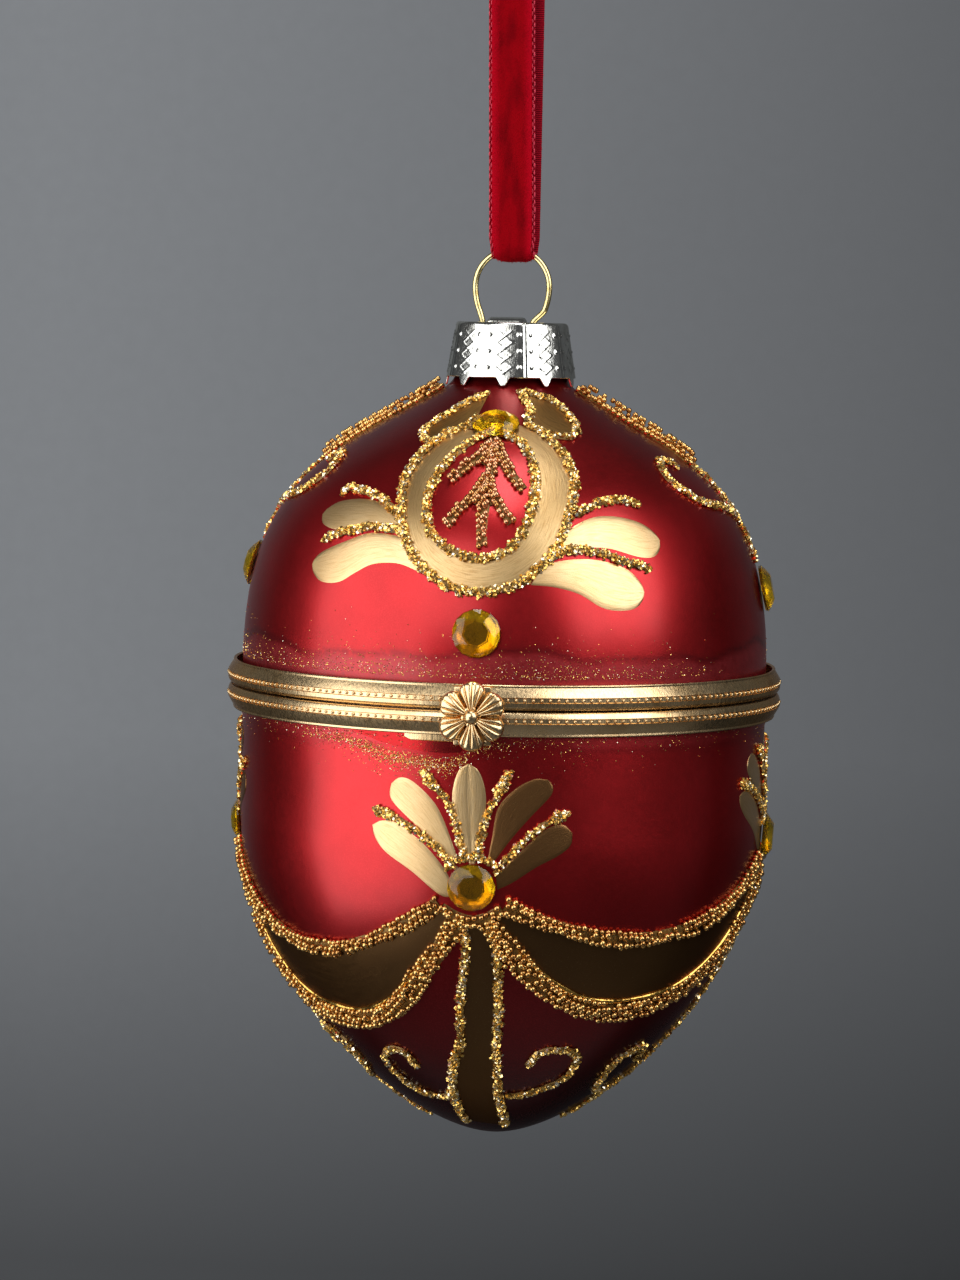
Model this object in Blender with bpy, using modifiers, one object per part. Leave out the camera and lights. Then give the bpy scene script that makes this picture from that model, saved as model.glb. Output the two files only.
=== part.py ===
# A hinged glass egg ornament that hangs from a doubled velvet ribbon.
# The egg is measured from the seam between its halves, with +Z up and its front facing -Y.
# The finished model's origin is the hanging point, between the ribbon's strands under the knot.
import math

import bmesh
import bpy
import numpy as np
from mathutils import Matrix, Vector

MM = 0.001

# Gaps
SEAT_GAP = 0.3 * MM  # between pieces that rest on each other
TRIM_GAP = 0.15 * MM  # glue under the trim and the stones
SEAM_GAP = 0.3 * MM  # between the two bands

# Glass
EGG_RADIUS = 36.1 * MM
GLASS_WALL = 1.0 * MM
GLASS_EDGE = 1.0 * MM  # from the seam to the cut edge of each half
DOME_BELT = 3.4 * MM  # height where the dome begins to round
DOME_SIDE_PULL = 24.5 * MM
DOME_TOP_PULL = 12.2 * MM
DOME_TOP_RISE = 7.2 * MM
SHOULDER_RADIUS = 11.8 * MM
SHOULDER_HEIGHT = 39.3 * MM
NECK_RADIUS = 7.0 * MM
NECK_LENGTH = 10.0 * MM  # from the shoulder to the neck's rim
NECK_STRAIGHT = 3.0 * MM
NECK_FLARE = 0.28  # of the dome's top pull, so that the neck leaves the dome smoothly
BOWL_BELT = 17.5 * MM
BOWL_SIDE_PULL = 24.5 * MM
BOWL_TIP_PULL = 11.4 * MM
BOWL_DEPTH = 62.4 * MM

# Bands at the seam
BAND_HEIGHT = 3.2 * MM
BAND_SHEET = 0.4 * MM
BAND_STANDOFF = 0.85 * MM  # from the glass to the inside of a band's skirt
BAND_RIDGE = 0.9 * MM  # how far the ridge stands out from the skirt
UPPER_RIDGE = 1.3 * MM  # from the seam face to the upper band's ridge
LOWER_RIDGE = 1.12 * MM
BAND_WEB = 0.5 * MM
BAND_SHOULDER = 0.5 * MM  # from the ridge in to the seam face's outer edge
INNER_WALL_HEIGHT = 2.5 * MM
INNER_WALL_GAP = 0.7 * MM  # from the glass in to the inner wall
LIP_RISE = 1.25 * MM
LIP_SHEET = 0.4 * MM
LIP_GAP = 0.4 * MM

# Cap
CAP_SHEET = 0.4 * MM
CAP_CLEARANCE = 0.35 * MM  # above the neck's rim
CAP_TOP_RADIUS = 7.95 * MM
CAP_FOOT_RADIUS = 9.05 * MM
CAP_HEIGHT = 7.5 * MM
CAP_POINT = 1.05 * MM  # how far each point hangs below the edge
CAP_PANELS = 9
CAP_TURN = math.radians(19.3)
CAP_ROUNDING = 0.7 * MM
CAP_GROOVE = 0.18 * MM
CAP_TOP_DISC = 0.6  # of the cap's top radius, the inner ring of its flat top
TOOTH_HALF = 0.14  # of a panel's width, half of a point's width at the edge
CREASE_HALF = 0.18  # of a panel's width, half of a crease's width
BRIDGE_WIDTH = 3.0 * MM
BRIDGE_HEIGHT = 0.75 * MM

# Wire hanger
WIRE_RADIUS = 0.4 * MM
WIRE_HOLE_GAP = 0.25 * MM
RING_RADIUS = 5.1 * MM
RING_RISE = 4.9 * MM  # from the cap's top to the ring's centre
RING_OPENING = math.radians(30)  # below the horizontal, where the wire leaves the ring
RING_STRETCH = 1.35  # how much longer the ring's lower half is than its upper
LEG_SPREAD = 3.38 * MM
LEG_SHIFT = -0.58 * MM
LEG_DEPTH = 8.6 * MM  # how far the spring legs reach below the cap's top

# Ribbon
RIBBON_WIDTH = 6.35 * MM
RIBBON_THICKNESS = 1.0 * MM
RIBBON_FOLD_WIDTH = 4.7 * MM
RIBBON_FOLD_CUP = 0.45 * MM
RIBBON_SLACK = 0.53 * MM  # in front of and behind the wire
RIBBON_FOLD_GAP = 0.35 * MM  # under the wire, inside the fold
RIBBON_GATHER = 5.0 * MM  # above the fold, where the ribbon narrows
RIBBON_DROP = 37.6 * MM  # from the ring's top up to the hanging point
RIBBON_LEAN = math.radians(-1.2)  # the egg hangs a little out of plumb
RIBBON_STAGGER = 1.1 * MM  # the rear strand stands to one side
FOLD_STAGGER = 0.3  # of the stagger, already there at the fold
KNOT_RISE = 2.0 * MM
KNOT_WIDTH = 9.0 * MM
KNOT_DEPTH = 6.6 * MM
KNOT_HEIGHT = 6.2 * MM
KNOT_ROUNDING = 1.9 * MM
TAIL_LENGTH = 11.0 * MM
TAIL_CURL = 3.0 * MM
TAIL_LEAN = math.radians(16)
TAIL_OFFSET = (0.54 * MM, 0.8 * MM)  # of each tail's foot from the knot's middle, across and back

# Rear hinge
HINGE_WIDTH = 14.0 * MM
KNUCKLE_RADIUS = 1.3 * MM
KNUCKLE_LENGTH = 4.4 * MM  # of each outer knuckle
KNUCKLE_GAP = 0.25 * MM
LEAF_THICKNESS = 0.6 * MM
PIN_RADIUS = 0.5 * MM
PIN_CLEARANCE = 0.12 * MM
PIN_OVERHANG = 0.3 * MM
LEAF_SETBACK = 0.45 * MM  # from the band's seam face to the leaf's edge
BORE_OVERRUN = 1.0 * MM  # how far the bore's cutter passes the outer knuckles

# Clasp
TONGUE_WIDTH = 4.8 * MM
TONGUE_THICKNESS = 0.55 * MM
TONGUE_FOOT = -4.4 * MM
TONGUE_FLEX_LINE = 1.65 * MM
MOUNT_TOP = 3.2 * MM
DETENT_DEPTH = 0.2 * MM
DETENT_WIDTH = 3.84 * MM
FLOWER_RADIUS = 4.55 * MM
FLOWER_HEIGHT = -0.6 * MM
FLOWER_THICKNESS = 1.1 * MM
FLOWER_PETALS = 6
PETAL_STEPS = 8
FLOWER_NOTCH = 0.24  # of the radius, how deep the petals part at the rim
BOSS_RISE = 1.16 * MM
CATCH_SHEET = 0.3 * MM
CATCH_DROP = 0.9 * MM  # how far the catch plate shows below the lower band
CATCH_FROM = math.radians(-14.5)
CATCH_TO = math.radians(2.0)

# Stones
GEM_RADIUS = 3.2 * MM
GEM_TABLE = 1.75 * MM
GEM_GIRDLE = 0.5 * MM
GEM_HEIGHT = 1.5 * MM
GEM_SIDES = 12
GEM_UPPER = {"front": 9.8 * MM, "right": 14.3 * MM, "back": 9.8 * MM, "left": 16.0 * MM}
GEM_MEDALLION_GAP = 1.57 * MM  # along the glass, from the medallion's inner ring to its stone
GEM_LOWER = {"front": -23.2 * MM, "right": -19.7 * MM, "back": -23.2 * MM, "left": -19.8 * MM}

# Raised trim, as heights from the seam and widths on the glass
ROPE_WIDTH = 2.3 * MM
ROPE_HEIGHT = 0.9 * MM
SWAG_UPPER_START = math.radians(7.2)
SWAG_LOWER_START = math.radians(3.8)
SWAG_TOP = -25.6 * MM
SWAG_FOOT = -28.3 * MM
SWAG_SIDE_RISE = 3.3 * MM  # how much higher each swag ends at the egg's side
SWAG_SAG = {"right": 6.6 * MM, "left": 9.4 * MM}
SWAG_BELLY = {"right": 14.2 * MM, "left": 16.8 * MM}
SWAG_UPPER_ROUND = 2.0  # a parabola
SWAG_LOWER_ROUND = 2.6  # fuller at its ends
STRIPE_WIDTH = 5.2 * MM
STRIPE_HEIGHT = 0.5 * MM
STRIPE_TOP = -31.5 * MM
STRIPE_TIP_GAP = 6.8 * MM  # along the glass, from the tip to the stripe's foot
RIM_WIDTH = 1.6 * MM
RIM_HEIGHT = 0.7 * MM
RIM_CENTRE = 26.2 * MM
RIM_HALF_WIDTH = 11.5 * MM
RIM_HALF_LENGTH = 13.1 * MM
RIM_BREAK = math.radians(25)  # on each side of the medallion's stone
BEAD_RING_CENTRE = 26.9 * MM
BEAD_RING_HALF_WIDTH = 7.3 * MM
BEAD_RING_HALF_LENGTH = 9.6 * MM
LEAF_ANGLES = (math.radians(14), math.radians(32))
LEAF_DROPS = (0.1 * MM, 3.4 * MM)  # of its top and its foot, below the shoulder
LEAF_WIDTHS = (1.8 * MM, 4.0 * MM)
LEAF_HEIGHT = 0.6 * MM
SIDE_STRIP_RISE = 1.3 * MM  # of its top, above the shoulder
SIDE_STRIP_DROP = 7.7 * MM  # of its foot, below the shoulder
SIDE_STRIP_WIDTHS = (3.0 * MM, 7.5 * MM)
SIDE_STRIP_HEIGHT = 1.5 * MM

# Thin lines of glitter and beads
LINE_WIDTH = 1.2 * MM
LINE_HEIGHT = 0.6 * MM
JOIN_LIFT = 0.05 * MM  # keeps a joining line's base inside the line that it joins
SIDE_LINE_GAP = 0.9 * MM  # along the glass, under the beaded strip
STONE_LINE_GAP = 0.45 * MM  # along the glass, from a stone to the end of a line
FAN_ARC_GAP = 0.8 * MM  # from the stone to the middle of the fan's arc
FAN_ARC_REACH = math.radians(60)
FAN_LENGTH = {"front": 1.0, "right": 0.84, "back": 1.0, "left": 0.95}  # of the drawn lines'

# The drawn lines' points, across and along the glass from the motif's middle, counted in this unit
DRAWN_UNIT = 1.0 * MM
WING_LINES = (  # out from the medallion's rim
    ((-11.4, -2.0), (-14.5, 0.4), (-17.6, 1.4), (-20.5, 1.7)),
    ((-10.2, -5.7), (-15.0, -3.9), (-19.3, -4.8), (-23.9, -6.5)),
    ((11.4, -1.7), (14.2, 0.1), (17.0, 0.9), (21.3, 0.3)),
    ((8.8, -8.4), (11.6, -6.6), (15.9, -6.8), (23.1, -9.1)),
)
SPRIG_STEM = ((0.1, 7.7), (0.2, 2.7), (0.1, -1.9), (0.0, -5.4), (0.1, -7.4))
SPRIG_TWIGS = (
    ((0.1, 7.2), (-2.0, 5.2), (-4.0, 3.1), (-4.9, 1.7)),
    ((0.1, 7.2), (1.9, 5.7), (3.8, 3.6), (4.9, 1.9)),
    ((0.1, 3.6), (-1.8, 0.4), (-3.5, -2.0), (-4.6, -4.0)),
    ((0.1, 3.6), (1.3, 0.7), (2.7, -1.9), (3.8, -3.7)),
)
SIDE_CURL = (  # from the side line out to its hook, under the shoulder
    (0.0, -25.1), (4.8, -23.5), (9.6, -22.8), (12.7, -21.9), (14.2, -20.4),
    (14.8, -18.8), (14.0, -16.7), (11.3, -14.3), (9.8, -14.8), (8.9, -16.2),
)
FAN_LINES = (  # out from the arc round the lower stone
    ((-3.1, 2.5), (-5.4, 5.3), (-9.4, 8.1), (-13.5, 9.2)),
    ((-1.2, 3.8), (-2.0, 7.0), (-3.0, 10.3), (-4.9, 12.9), (-6.9, 14.7)),
    ((1.5, 3.7), (1.4, 6.7), (2.1, 10.0), (3.4, 12.6), (4.9, 15.1)),
    ((3.4, 2.2), (5.4, 4.7), (7.9, 7.1), (10.2, 8.7), (12.7, 9.7)),
)
STRIPE_CURLS = (  # out from the stripe, above the tip
    (
        (-1.2, 20.2), (-3.9, 20.0), (-5.7, 18.4), (-7.4, 18.4), (-10.0, 19.7),
        (-12.6, 22.6), (-13.8, 25.6), (-13.5, 27.8), (-11.8, 28.5), (-9.6, 26.6),
    ),
    (
        (1.2, 20.0), (3.1, 19.4), (4.8, 19.4), (7.2, 20.4), (10.6, 22.6),
        (13.0, 25.6), (13.3, 28.2), (11.5, 29.6), (8.7, 29.4), (6.4, 27.0),
    ),
)

# Facets
TURN_STEPS = 48
CURVE_STEPS = 10
INNER_CURVE_STEPS = 7
LINE_PITCH = 3.0 * MM
SLOPE_REACH = 0.5 * MM  # each way along the glass, for its slope at a point

# Places that follow from the sizes above
NECK_RIM = SHOULDER_HEIGHT + NECK_LENGTH
CAP_TOP = NECK_RIM + CAP_CLEARANCE + CAP_SHEET
RING_CENTRE = CAP_TOP + RING_RISE
RING_TOP = RING_CENTRE + RING_RADIUS + WIRE_RADIUS
HANG_HEIGHT = RING_TOP + RIBBON_DROP
SEAM_FACE = SEAM_GAP / 2
SKIRT_RADIUS = EGG_RADIUS + BAND_STANDOFF
SKIRT_OUTSIDE = SKIRT_RADIUS + BAND_SHEET
RIDGE_RADIUS = SKIRT_OUTSIDE + BAND_RIDGE
INNER_WALL_RADIUS = EGG_RADIUS - GLASS_WALL - INNER_WALL_GAP
HINGE_Y = RIDGE_RADIUS + SEAT_GAP + KNUCKLE_RADIUS
CLASP_Y = -RIDGE_RADIUS - SEAT_GAP
FOLD_RADIUS = WIRE_RADIUS + RIBBON_SLACK + RIBBON_THICKNESS / 2
FOLD_HEIGHT = RING_TOP - 2 * WIRE_RADIUS - RIBBON_FOLD_GAP + FOLD_RADIUS - RIBBON_THICKNESS / 2
WIRE_DIP = RING_RADIUS - math.sqrt(RING_RADIUS**2 - (RIBBON_WIDTH / 2) ** 2)
SWING_HEIGHT = RING_TOP - WIRE_RADIUS - WIRE_DIP / 2
LEAN_SHIFT = math.tan(RIBBON_LEAN) * (HANG_HEIGHT - RING_TOP)

PIVOTS = {
    "hanging_point": (LEAN_SHIFT, 0.0, HANG_HEIGHT),
    "ribbon_swing": (0.0, 0.0, SWING_HEIGHT),
    "cap_rock": (0.0, 0.0, CAP_TOP - CAP_SHEET / 2),
    "clasp_flex": (0.0, CLASP_Y, TONGUE_FLEX_LINE),
    "egg_hinge": (0.0, HINGE_Y, 0.0),
}
SIDES = {"front": 0.0, "right": 90.0, "back": 180.0, "left": 270.0}
LINE_SECTION = ((-0.5, 0.0), (-0.36, 0.75), (0.0, 1.0), (0.36, 0.75), (0.5, 0.0))


# Scene, materials and placing

def clear_scene():
    for obj in list(bpy.data.objects):
        bpy.data.objects.remove(obj, do_unlink=True)


def new_collection(name):
    made = bpy.data.collections.new(name)
    bpy.context.scene.collection.children.link(made)
    return made


def make_material(name, color, roughness, metallic=0.0):
    made = bpy.data.materials.new(name)
    made.use_nodes = True
    shader = made.node_tree.nodes["Principled BSDF"]
    shader.inputs["Base Color"].default_value = (*color, 1.0)
    shader.inputs["Roughness"].default_value = roughness
    shader.inputs["Metallic"].default_value = metallic
    return made


def make_pivots():
    for name, spot in PIVOTS.items():
        empty = bpy.data.objects.new(name, None)
        empty.location = (spot[0] - LEAN_SHIFT, spot[1], spot[2] - HANG_HEIGHT)
        PARTS.objects.link(empty)


def place(obj, pivot, spot=(0.0, 0.0, 0.0)):
    obj.parent = bpy.data.objects[pivot]
    obj.location = Vector(spot) - Vector(PIVOTS[pivot])
    return obj


def add_part(name, mesh, material, pivot, spot=(0.0, 0.0, 0.0)):
    obj = bpy.data.objects.new(name, mesh)
    own = material.copy()
    own.name = name + "_finish"
    mesh.materials.append(own)
    PARTS.objects.link(obj)
    return place(obj, pivot, spot)


def add_cutter(name, mesh, pivot):
    obj = bpy.data.objects.new(name, mesh)
    CUTTERS.objects.link(obj)
    obj.hide_render = True
    obj.display_type = "WIRE"
    return place(obj, pivot)


def combine(obj, cutter, operation):
    step = obj.modifiers.new(cutter.name, "BOOLEAN")
    step.operation = operation
    step.object = cutter


# Meshes

def mesh_from(name, bm, smooth=True):
    bmesh.ops.recalc_face_normals(bm, faces=bm.faces)
    mesh = bpy.data.meshes.new(name)
    bm.to_mesh(mesh)
    bm.free()
    if smooth:
        mesh.shade_smooth()
        mesh.set_sharp_from_angle(angle=math.radians(35))
    return mesh


def box_mesh(name, low, high):
    bm = bmesh.new()
    size = [b - a for a, b in zip(low, high)]
    middle = [(a + b) / 2 for a, b in zip(low, high)]
    bmesh.ops.create_cube(bm, size=1.0, matrix=Matrix.Translation(middle) @ Matrix.Diagonal((*size, 1.0)))
    return mesh_from(name, bm, smooth=False)


def rod_mesh(name, radius, start, end, sides=16):
    start = Vector(start)
    end = Vector(end)
    turn = (end - start).to_track_quat("Z", "Y").to_matrix().to_4x4()
    bm = bmesh.new()
    bmesh.ops.create_cone(
        bm, cap_ends=True, segments=sides, radius1=radius, radius2=radius,
        depth=(end - start).length, matrix=Matrix.Translation((start + end) / 2) @ turn,
    )
    return mesh_from(name, bm)


def loft_mesh(name, rings, closed=False):
    # Joins rings of points into one skin, with a cap on each end unless the loft is closed.
    bm = bmesh.new()
    rows = [[bm.verts.new(point) for point in ring] for ring in rings]
    pairs = list(zip(rows, rows[1:]))
    if closed:
        pairs.append((rows[-1], rows[0]))
    for near, far in pairs:
        for k in range(len(near)):
            n = (k + 1) % len(near)
            bm.faces.new((near[k], near[n], far[n], far[k]))
    if not closed:
        bm.faces.new(rows[0])
        bm.faces.new(rows[-1])
    return mesh_from(name, bm)


def turned_part(name, outline, material, pivot, steps=TURN_STEPS, on_axis=False, spot=(0.0, 0.0, 0.0)):
    # The outline runs down the outer side and back up the inner one.
    edges = [(k, k + 1) for k in range(len(outline) - 1)]
    if not on_axis:
        edges.append((len(outline) - 1, 0))
    mesh = bpy.data.meshes.new(name)
    mesh.from_pydata([(r, 0.0, z) for r, z in outline], edges, [])
    obj = add_part(name, mesh, material, pivot, spot)
    turn = obj.modifiers.new("turn", "SCREW")
    turn.axis = "Z"
    turn.angle = math.tau
    turn.steps = steps
    turn.render_steps = steps
    turn.use_merge_vertices = True
    turn.merge_threshold = 0.001 * MM
    return obj


# The glass outline

def bezier(start, pull_a, pull_b, end, steps):
    t = np.linspace(0.0, 1.0, steps + 1)[:, None]
    points = [np.array(p) for p in (start, pull_a, pull_b, end)]
    curve = (1 - t) ** 3 * points[0] + 3 * (1 - t) ** 2 * t * points[1]
    curve += 3 * (1 - t) * t**2 * points[2] + t**3 * points[3]
    return [tuple(p) for p in curve]


def dome_curve(steps):
    return bezier(
        (SHOULDER_RADIUS, SHOULDER_HEIGHT),
        (SHOULDER_RADIUS + DOME_TOP_PULL, SHOULDER_HEIGHT - DOME_TOP_RISE),
        (EGG_RADIUS, DOME_BELT + DOME_SIDE_PULL),
        (EGG_RADIUS, DOME_BELT),
        steps,
    )


def neck_curve(steps):
    return bezier(
        (NECK_RADIUS, NECK_RIM - NECK_STRAIGHT),
        (NECK_RADIUS, SHOULDER_HEIGHT + (NECK_LENGTH - NECK_STRAIGHT) / 3),
        (SHOULDER_RADIUS - NECK_FLARE * DOME_TOP_PULL, SHOULDER_HEIGHT + NECK_FLARE * DOME_TOP_RISE),
        (SHOULDER_RADIUS, SHOULDER_HEIGHT),
        steps,
    )


def bowl_curve(steps):
    return bezier(
        (EGG_RADIUS, -BOWL_BELT),
        (EGG_RADIUS, -BOWL_BELT - BOWL_SIDE_PULL),
        (BOWL_TIP_PULL, -BOWL_DEPTH),
        (0.0, -BOWL_DEPTH),
        steps,
    )


def inset(points, distance):
    # The same outline, moved towards its inner side by the distance.
    points = np.array(points)
    run = np.gradient(points, axis=0)
    run /= np.linalg.norm(run, axis=1)[:, None]
    moved = points + distance * np.column_stack((run[:, 1], -run[:, 0]))
    return [(max(r, 0.0), z) for r, z in moved]


def glass_outline():
    # Every outer point of the closed glass, from the tip up to the neck's rim.
    fine = 120
    down = [(NECK_RADIUS, NECK_RIM)] + neck_curve(fine) + dome_curve(fine)[1:] + bowl_curve(fine)
    return np.array(down[::-1])


OUTLINE = glass_outline()
OUTLINE_RUN = np.concatenate(([0.0], np.cumsum(np.linalg.norm(np.diff(OUTLINE, axis=0), axis=1))))


def run_at(height):
    return float(np.interp(height, OUTLINE[:, 1], OUTLINE_RUN))


def glass_spot(angle, run, lift=TRIM_GAP):
    # A point over the glass and the outward direction there. The angle is 0 at the front and
    # grows to the right, and run is measured along the glass from the tip.
    radius = float(np.interp(run, OUTLINE_RUN, OUTLINE[:, 0]))
    height = float(np.interp(run, OUTLINE_RUN, OUTLINE[:, 1]))
    ahead = [float(np.interp(run + SLOPE_REACH, OUTLINE_RUN, OUTLINE[:, k])) for k in (0, 1)]
    behind = [float(np.interp(run - SLOPE_REACH, OUTLINE_RUN, OUTLINE[:, k])) for k in (0, 1)]
    slope = Vector((ahead[0] - behind[0], ahead[1] - behind[1])).normalized()
    around = Vector((math.sin(angle), -math.cos(angle), 0.0))
    outward = around * slope.y - Vector((0.0, 0.0, slope.x))
    return around * radius + Vector((0.0, 0.0, height)) + outward * lift, outward


def line_mesh(name, route, width, height, closed=False, lift=TRIM_GAP):
    # A rounded line of glue along a route of (angle, run) pairs. A pair of widths tapers it.
    spots = [glass_spot(angle, run, lift) for angle, run in route]
    widths = np.linspace(*width, len(spots)) if isinstance(width, tuple) else [width] * len(spots)
    rings = []
    for k, (spot, outward) in enumerate(spots):
        last = (k - 1) % len(spots) if closed else max(k - 1, 0)
        following = (k + 1) % len(spots) if closed else min(k + 1, len(spots) - 1)
        along = (spots[following][0] - spots[last][0]).normalized()
        across = outward.cross(along).normalized()
        rings.append([spot + across * widths[k] * u + outward * height * v for u, v in LINE_SECTION])
    return loft_mesh(name, rings, closed)


def raised_line(name, route, width, height, material, closed=False):
    lower = glass_spot(*route[0])[0].z < 0
    mesh = line_mesh(name, route, width, height, closed)
    return add_part(name, mesh, material, "egg_hinge" if lower else "cap_rock")


def join_line(trunk, number, route):
    # Joins a thin line to the trunk that it starts in. Neighbours' bases lie at two levels.
    lift = TRIM_GAP + JOIN_LIFT * (1 + number % 2)
    name = f"{trunk.name}_line_{number + 1}"
    cutter = add_cutter(name, line_mesh(name, route, LINE_WIDTH, LINE_HEIGHT, lift=lift), trunk.parent.name)
    combine(trunk, cutter, "UNION")


# Glass shells and bands

def make_shells(material):
    outer = [(NECK_RADIUS, NECK_RIM)] + neck_curve(5) + dome_curve(CURVE_STEPS)[1:]
    inner = [(NECK_RADIUS, NECK_RIM)] + neck_curve(4) + dome_curve(INNER_CURVE_STEPS)[1:]
    inner = inset(inner, GLASS_WALL)
    inner[0] = (NECK_RADIUS - GLASS_WALL, NECK_RIM)
    outline = outer + [(EGG_RADIUS, GLASS_EDGE), (EGG_RADIUS - GLASS_WALL, GLASS_EDGE)] + inner[::-1]
    turned_part("upper_shell", outline, material, "cap_rock")

    outer = bowl_curve(CURVE_STEPS)
    inner = inset(bowl_curve(INNER_CURVE_STEPS), GLASS_WALL)
    inner[-1] = (0.0, GLASS_WALL - BOWL_DEPTH)
    # This outline starts and ends on the axis: up the inside, over the edge and down the outside.
    edge = [(EGG_RADIUS - GLASS_WALL, -GLASS_EDGE), (EGG_RADIUS, -GLASS_EDGE)]
    outline = inner[::-1] + edge + outer
    turned_part("lower_shell", outline, material, "egg_hinge", on_axis=True)


def make_bands(material):
    skirt_top = SEAM_FACE + BAND_HEIGHT
    web = SEAM_FACE + BAND_WEB
    inner_top = SEAM_FACE + INNER_WALL_HEIGHT
    shoulder = RIDGE_RADIUS - BAND_SHOULDER
    inside = INNER_WALL_RADIUS
    ridge = SEAM_FACE + UPPER_RIDGE
    upper = [
        (SKIRT_OUTSIDE, skirt_top), (RIDGE_RADIUS, ridge), (shoulder, SEAM_FACE),
        (inside - BAND_SHEET, SEAM_FACE), (inside - BAND_SHEET, inner_top), (inside, inner_top),
        (inside, web), (shoulder - BAND_SHEET, web), (RIDGE_RADIUS - BAND_SHEET, ridge),
        (SKIRT_RADIUS, skirt_top),
    ]
    turned_part("upper_bezel", upper, material, "cap_rock")

    ridge = SEAM_FACE + LOWER_RIDGE
    lip = inside - BAND_SHEET - LIP_GAP
    lower = [
        (lip, LIP_RISE - SEAM_FACE), (lip, -SEAM_FACE), (shoulder, -SEAM_FACE),
        (RIDGE_RADIUS, -ridge), (SKIRT_OUTSIDE, -skirt_top), (SKIRT_RADIUS, -skirt_top),
        (RIDGE_RADIUS - BAND_SHEET, -ridge), (shoulder - BAND_SHEET, -web), (inside, -web),
        (inside, -inner_top), (lip - LIP_SHEET, -inner_top), (lip - LIP_SHEET, LIP_RISE - SEAM_FACE),
    ]
    turned_part("lower_bezel", lower, material, "egg_hinge")


# Cap and wire

def cap_angles():
    panel = math.tau / CAP_PANELS
    marks = (0.0, CREASE_HALF, 0.5 - TOOTH_HALF, 0.5, 0.5 + TOOTH_HALF, 1.0 - CREASE_HALF)
    return [(CAP_TURN + panel * (k + mark), mark) for k in range(CAP_PANELS) for mark in marks]


def make_cap(material):
    bm = bmesh.new()
    foot = CAP_TOP - CAP_HEIGHT
    middle_radius = (CAP_TOP_RADIUS + CAP_FOOT_RADIUS) / 2
    rows = [
        (CAP_TOP_RADIUS * CAP_TOP_DISC, CAP_TOP), (CAP_TOP_RADIUS - CAP_ROUNDING, CAP_TOP),
        (CAP_TOP_RADIUS, CAP_TOP - CAP_ROUNDING), (middle_radius, (CAP_TOP + foot) / 2),
        (CAP_FOOT_RADIUS, foot),
    ]
    grid = []
    for level, (radius, height) in enumerate(rows):
        ring = []
        for angle, mark in cap_angles():
            groove = CAP_GROOVE if mark == 0.0 and level > 1 else 0.0
            drop = CAP_POINT if mark == 0.5 and level == len(rows) - 1 else 0.0
            r = radius - groove
            ring.append(bm.verts.new((r * math.sin(angle), -r * math.cos(angle), height - drop)))
        grid.append(ring)
    centre = bm.verts.new((0.0, 0.0, CAP_TOP))
    count = len(grid[0])
    for k in range(count):
        n = (k + 1) % count
        bm.faces.new((centre, grid[0][k], grid[0][n]))
        for near, far in zip(grid, grid[1:]):
            bm.faces.new((near[k], far[k], far[n], near[n]))
    cap = add_part("cap", mesh_from("cap", bm), material, "cap_rock")
    wall = cap.modifiers.new("sheet", "SOLIDIFY")
    wall.thickness = CAP_SHEET
    wall.offset = -1.0
    reach = LEG_SPREAD - WIRE_RADIUS - WIRE_HOLE_GAP
    bridge = box_mesh(
        "cap_bridge",
        (LEG_SHIFT - reach, -BRIDGE_WIDTH / 2, CAP_TOP - CAP_SHEET / 2),
        (LEG_SHIFT + reach, BRIDGE_WIDTH / 2, CAP_TOP + BRIDGE_HEIGHT),
    )
    combine(cap, add_cutter("cap_bridge", bridge, "cap_rock"), "UNION")
    for side in (-1, 1):
        x = LEG_SHIFT + side * LEG_SPREAD
        radius = WIRE_RADIUS + WIRE_HOLE_GAP
        name = "wire_hole_left" if side < 0 else "wire_hole_right"
        hole = rod_mesh(name, radius, (x, 0, CAP_TOP - 2 * CAP_SHEET), (x, 0, CAP_TOP + CAP_SHEET), 12)
        combine(cap, add_cutter(name, hole, "cap_rock"), "DIFFERENCE")


def wire_leg(side):
    # From the spring end up to the cap's top. The legs bear on the inside of the neck.
    bore = NECK_RADIUS - GLASS_WALL - WIRE_RADIUS - SEAT_GAP
    x = abs(LEG_SHIFT * side + LEG_SPREAD)
    drops = (1.0, 0.8, 0.6, 0.42, 0.24, 0.1, 0.0)
    spreads = (0.86, 0.98, 1.0, 0.9, 0.45, 0.05, 0.0)
    return [(side * (x + (bore - x) * s), CAP_TOP - LEG_DEPTH * d) for d, s in zip(drops, spreads)]


def make_wire(material):
    arc_from = math.pi + RING_OPENING
    arc_to = -RING_OPENING
    ring = []
    for angle in np.linspace(arc_from, arc_to, 25):
        reach = RING_RADIUS * (RING_STRETCH if math.sin(angle) < 0 else 1)
        ring.append((RING_RADIUS * math.cos(angle), RING_CENTRE + reach * math.sin(angle)))
    path = wire_leg(-1) + ring + wire_leg(1)[::-1]
    curve = bpy.data.curves.new("hanger_wire", "CURVE")
    curve.dimensions = "3D"
    curve.bevel_depth = WIRE_RADIUS
    curve.bevel_resolution = 2
    curve.use_fill_caps = True
    spline = curve.splines.new("POLY")
    spline.points.add(len(path) - 1)
    for point, (x, z) in zip(spline.points, path):
        point.co = (x, 0.0, z, 1.0)
    add_part("hanger_wire", curve, material, "ribbon_swing")


# Ribbon

def strand_x(height, rear):
    lean = math.tan(RIBBON_LEAN) * (height - RING_TOP)
    rise = (height - FOLD_HEIGHT) / (HANG_HEIGHT - FOLD_HEIGHT)
    return lean + (RIBBON_STAGGER * (FOLD_STAGGER + (1 - FOLD_STAGGER) * rise) if rear else 0.0)


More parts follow.
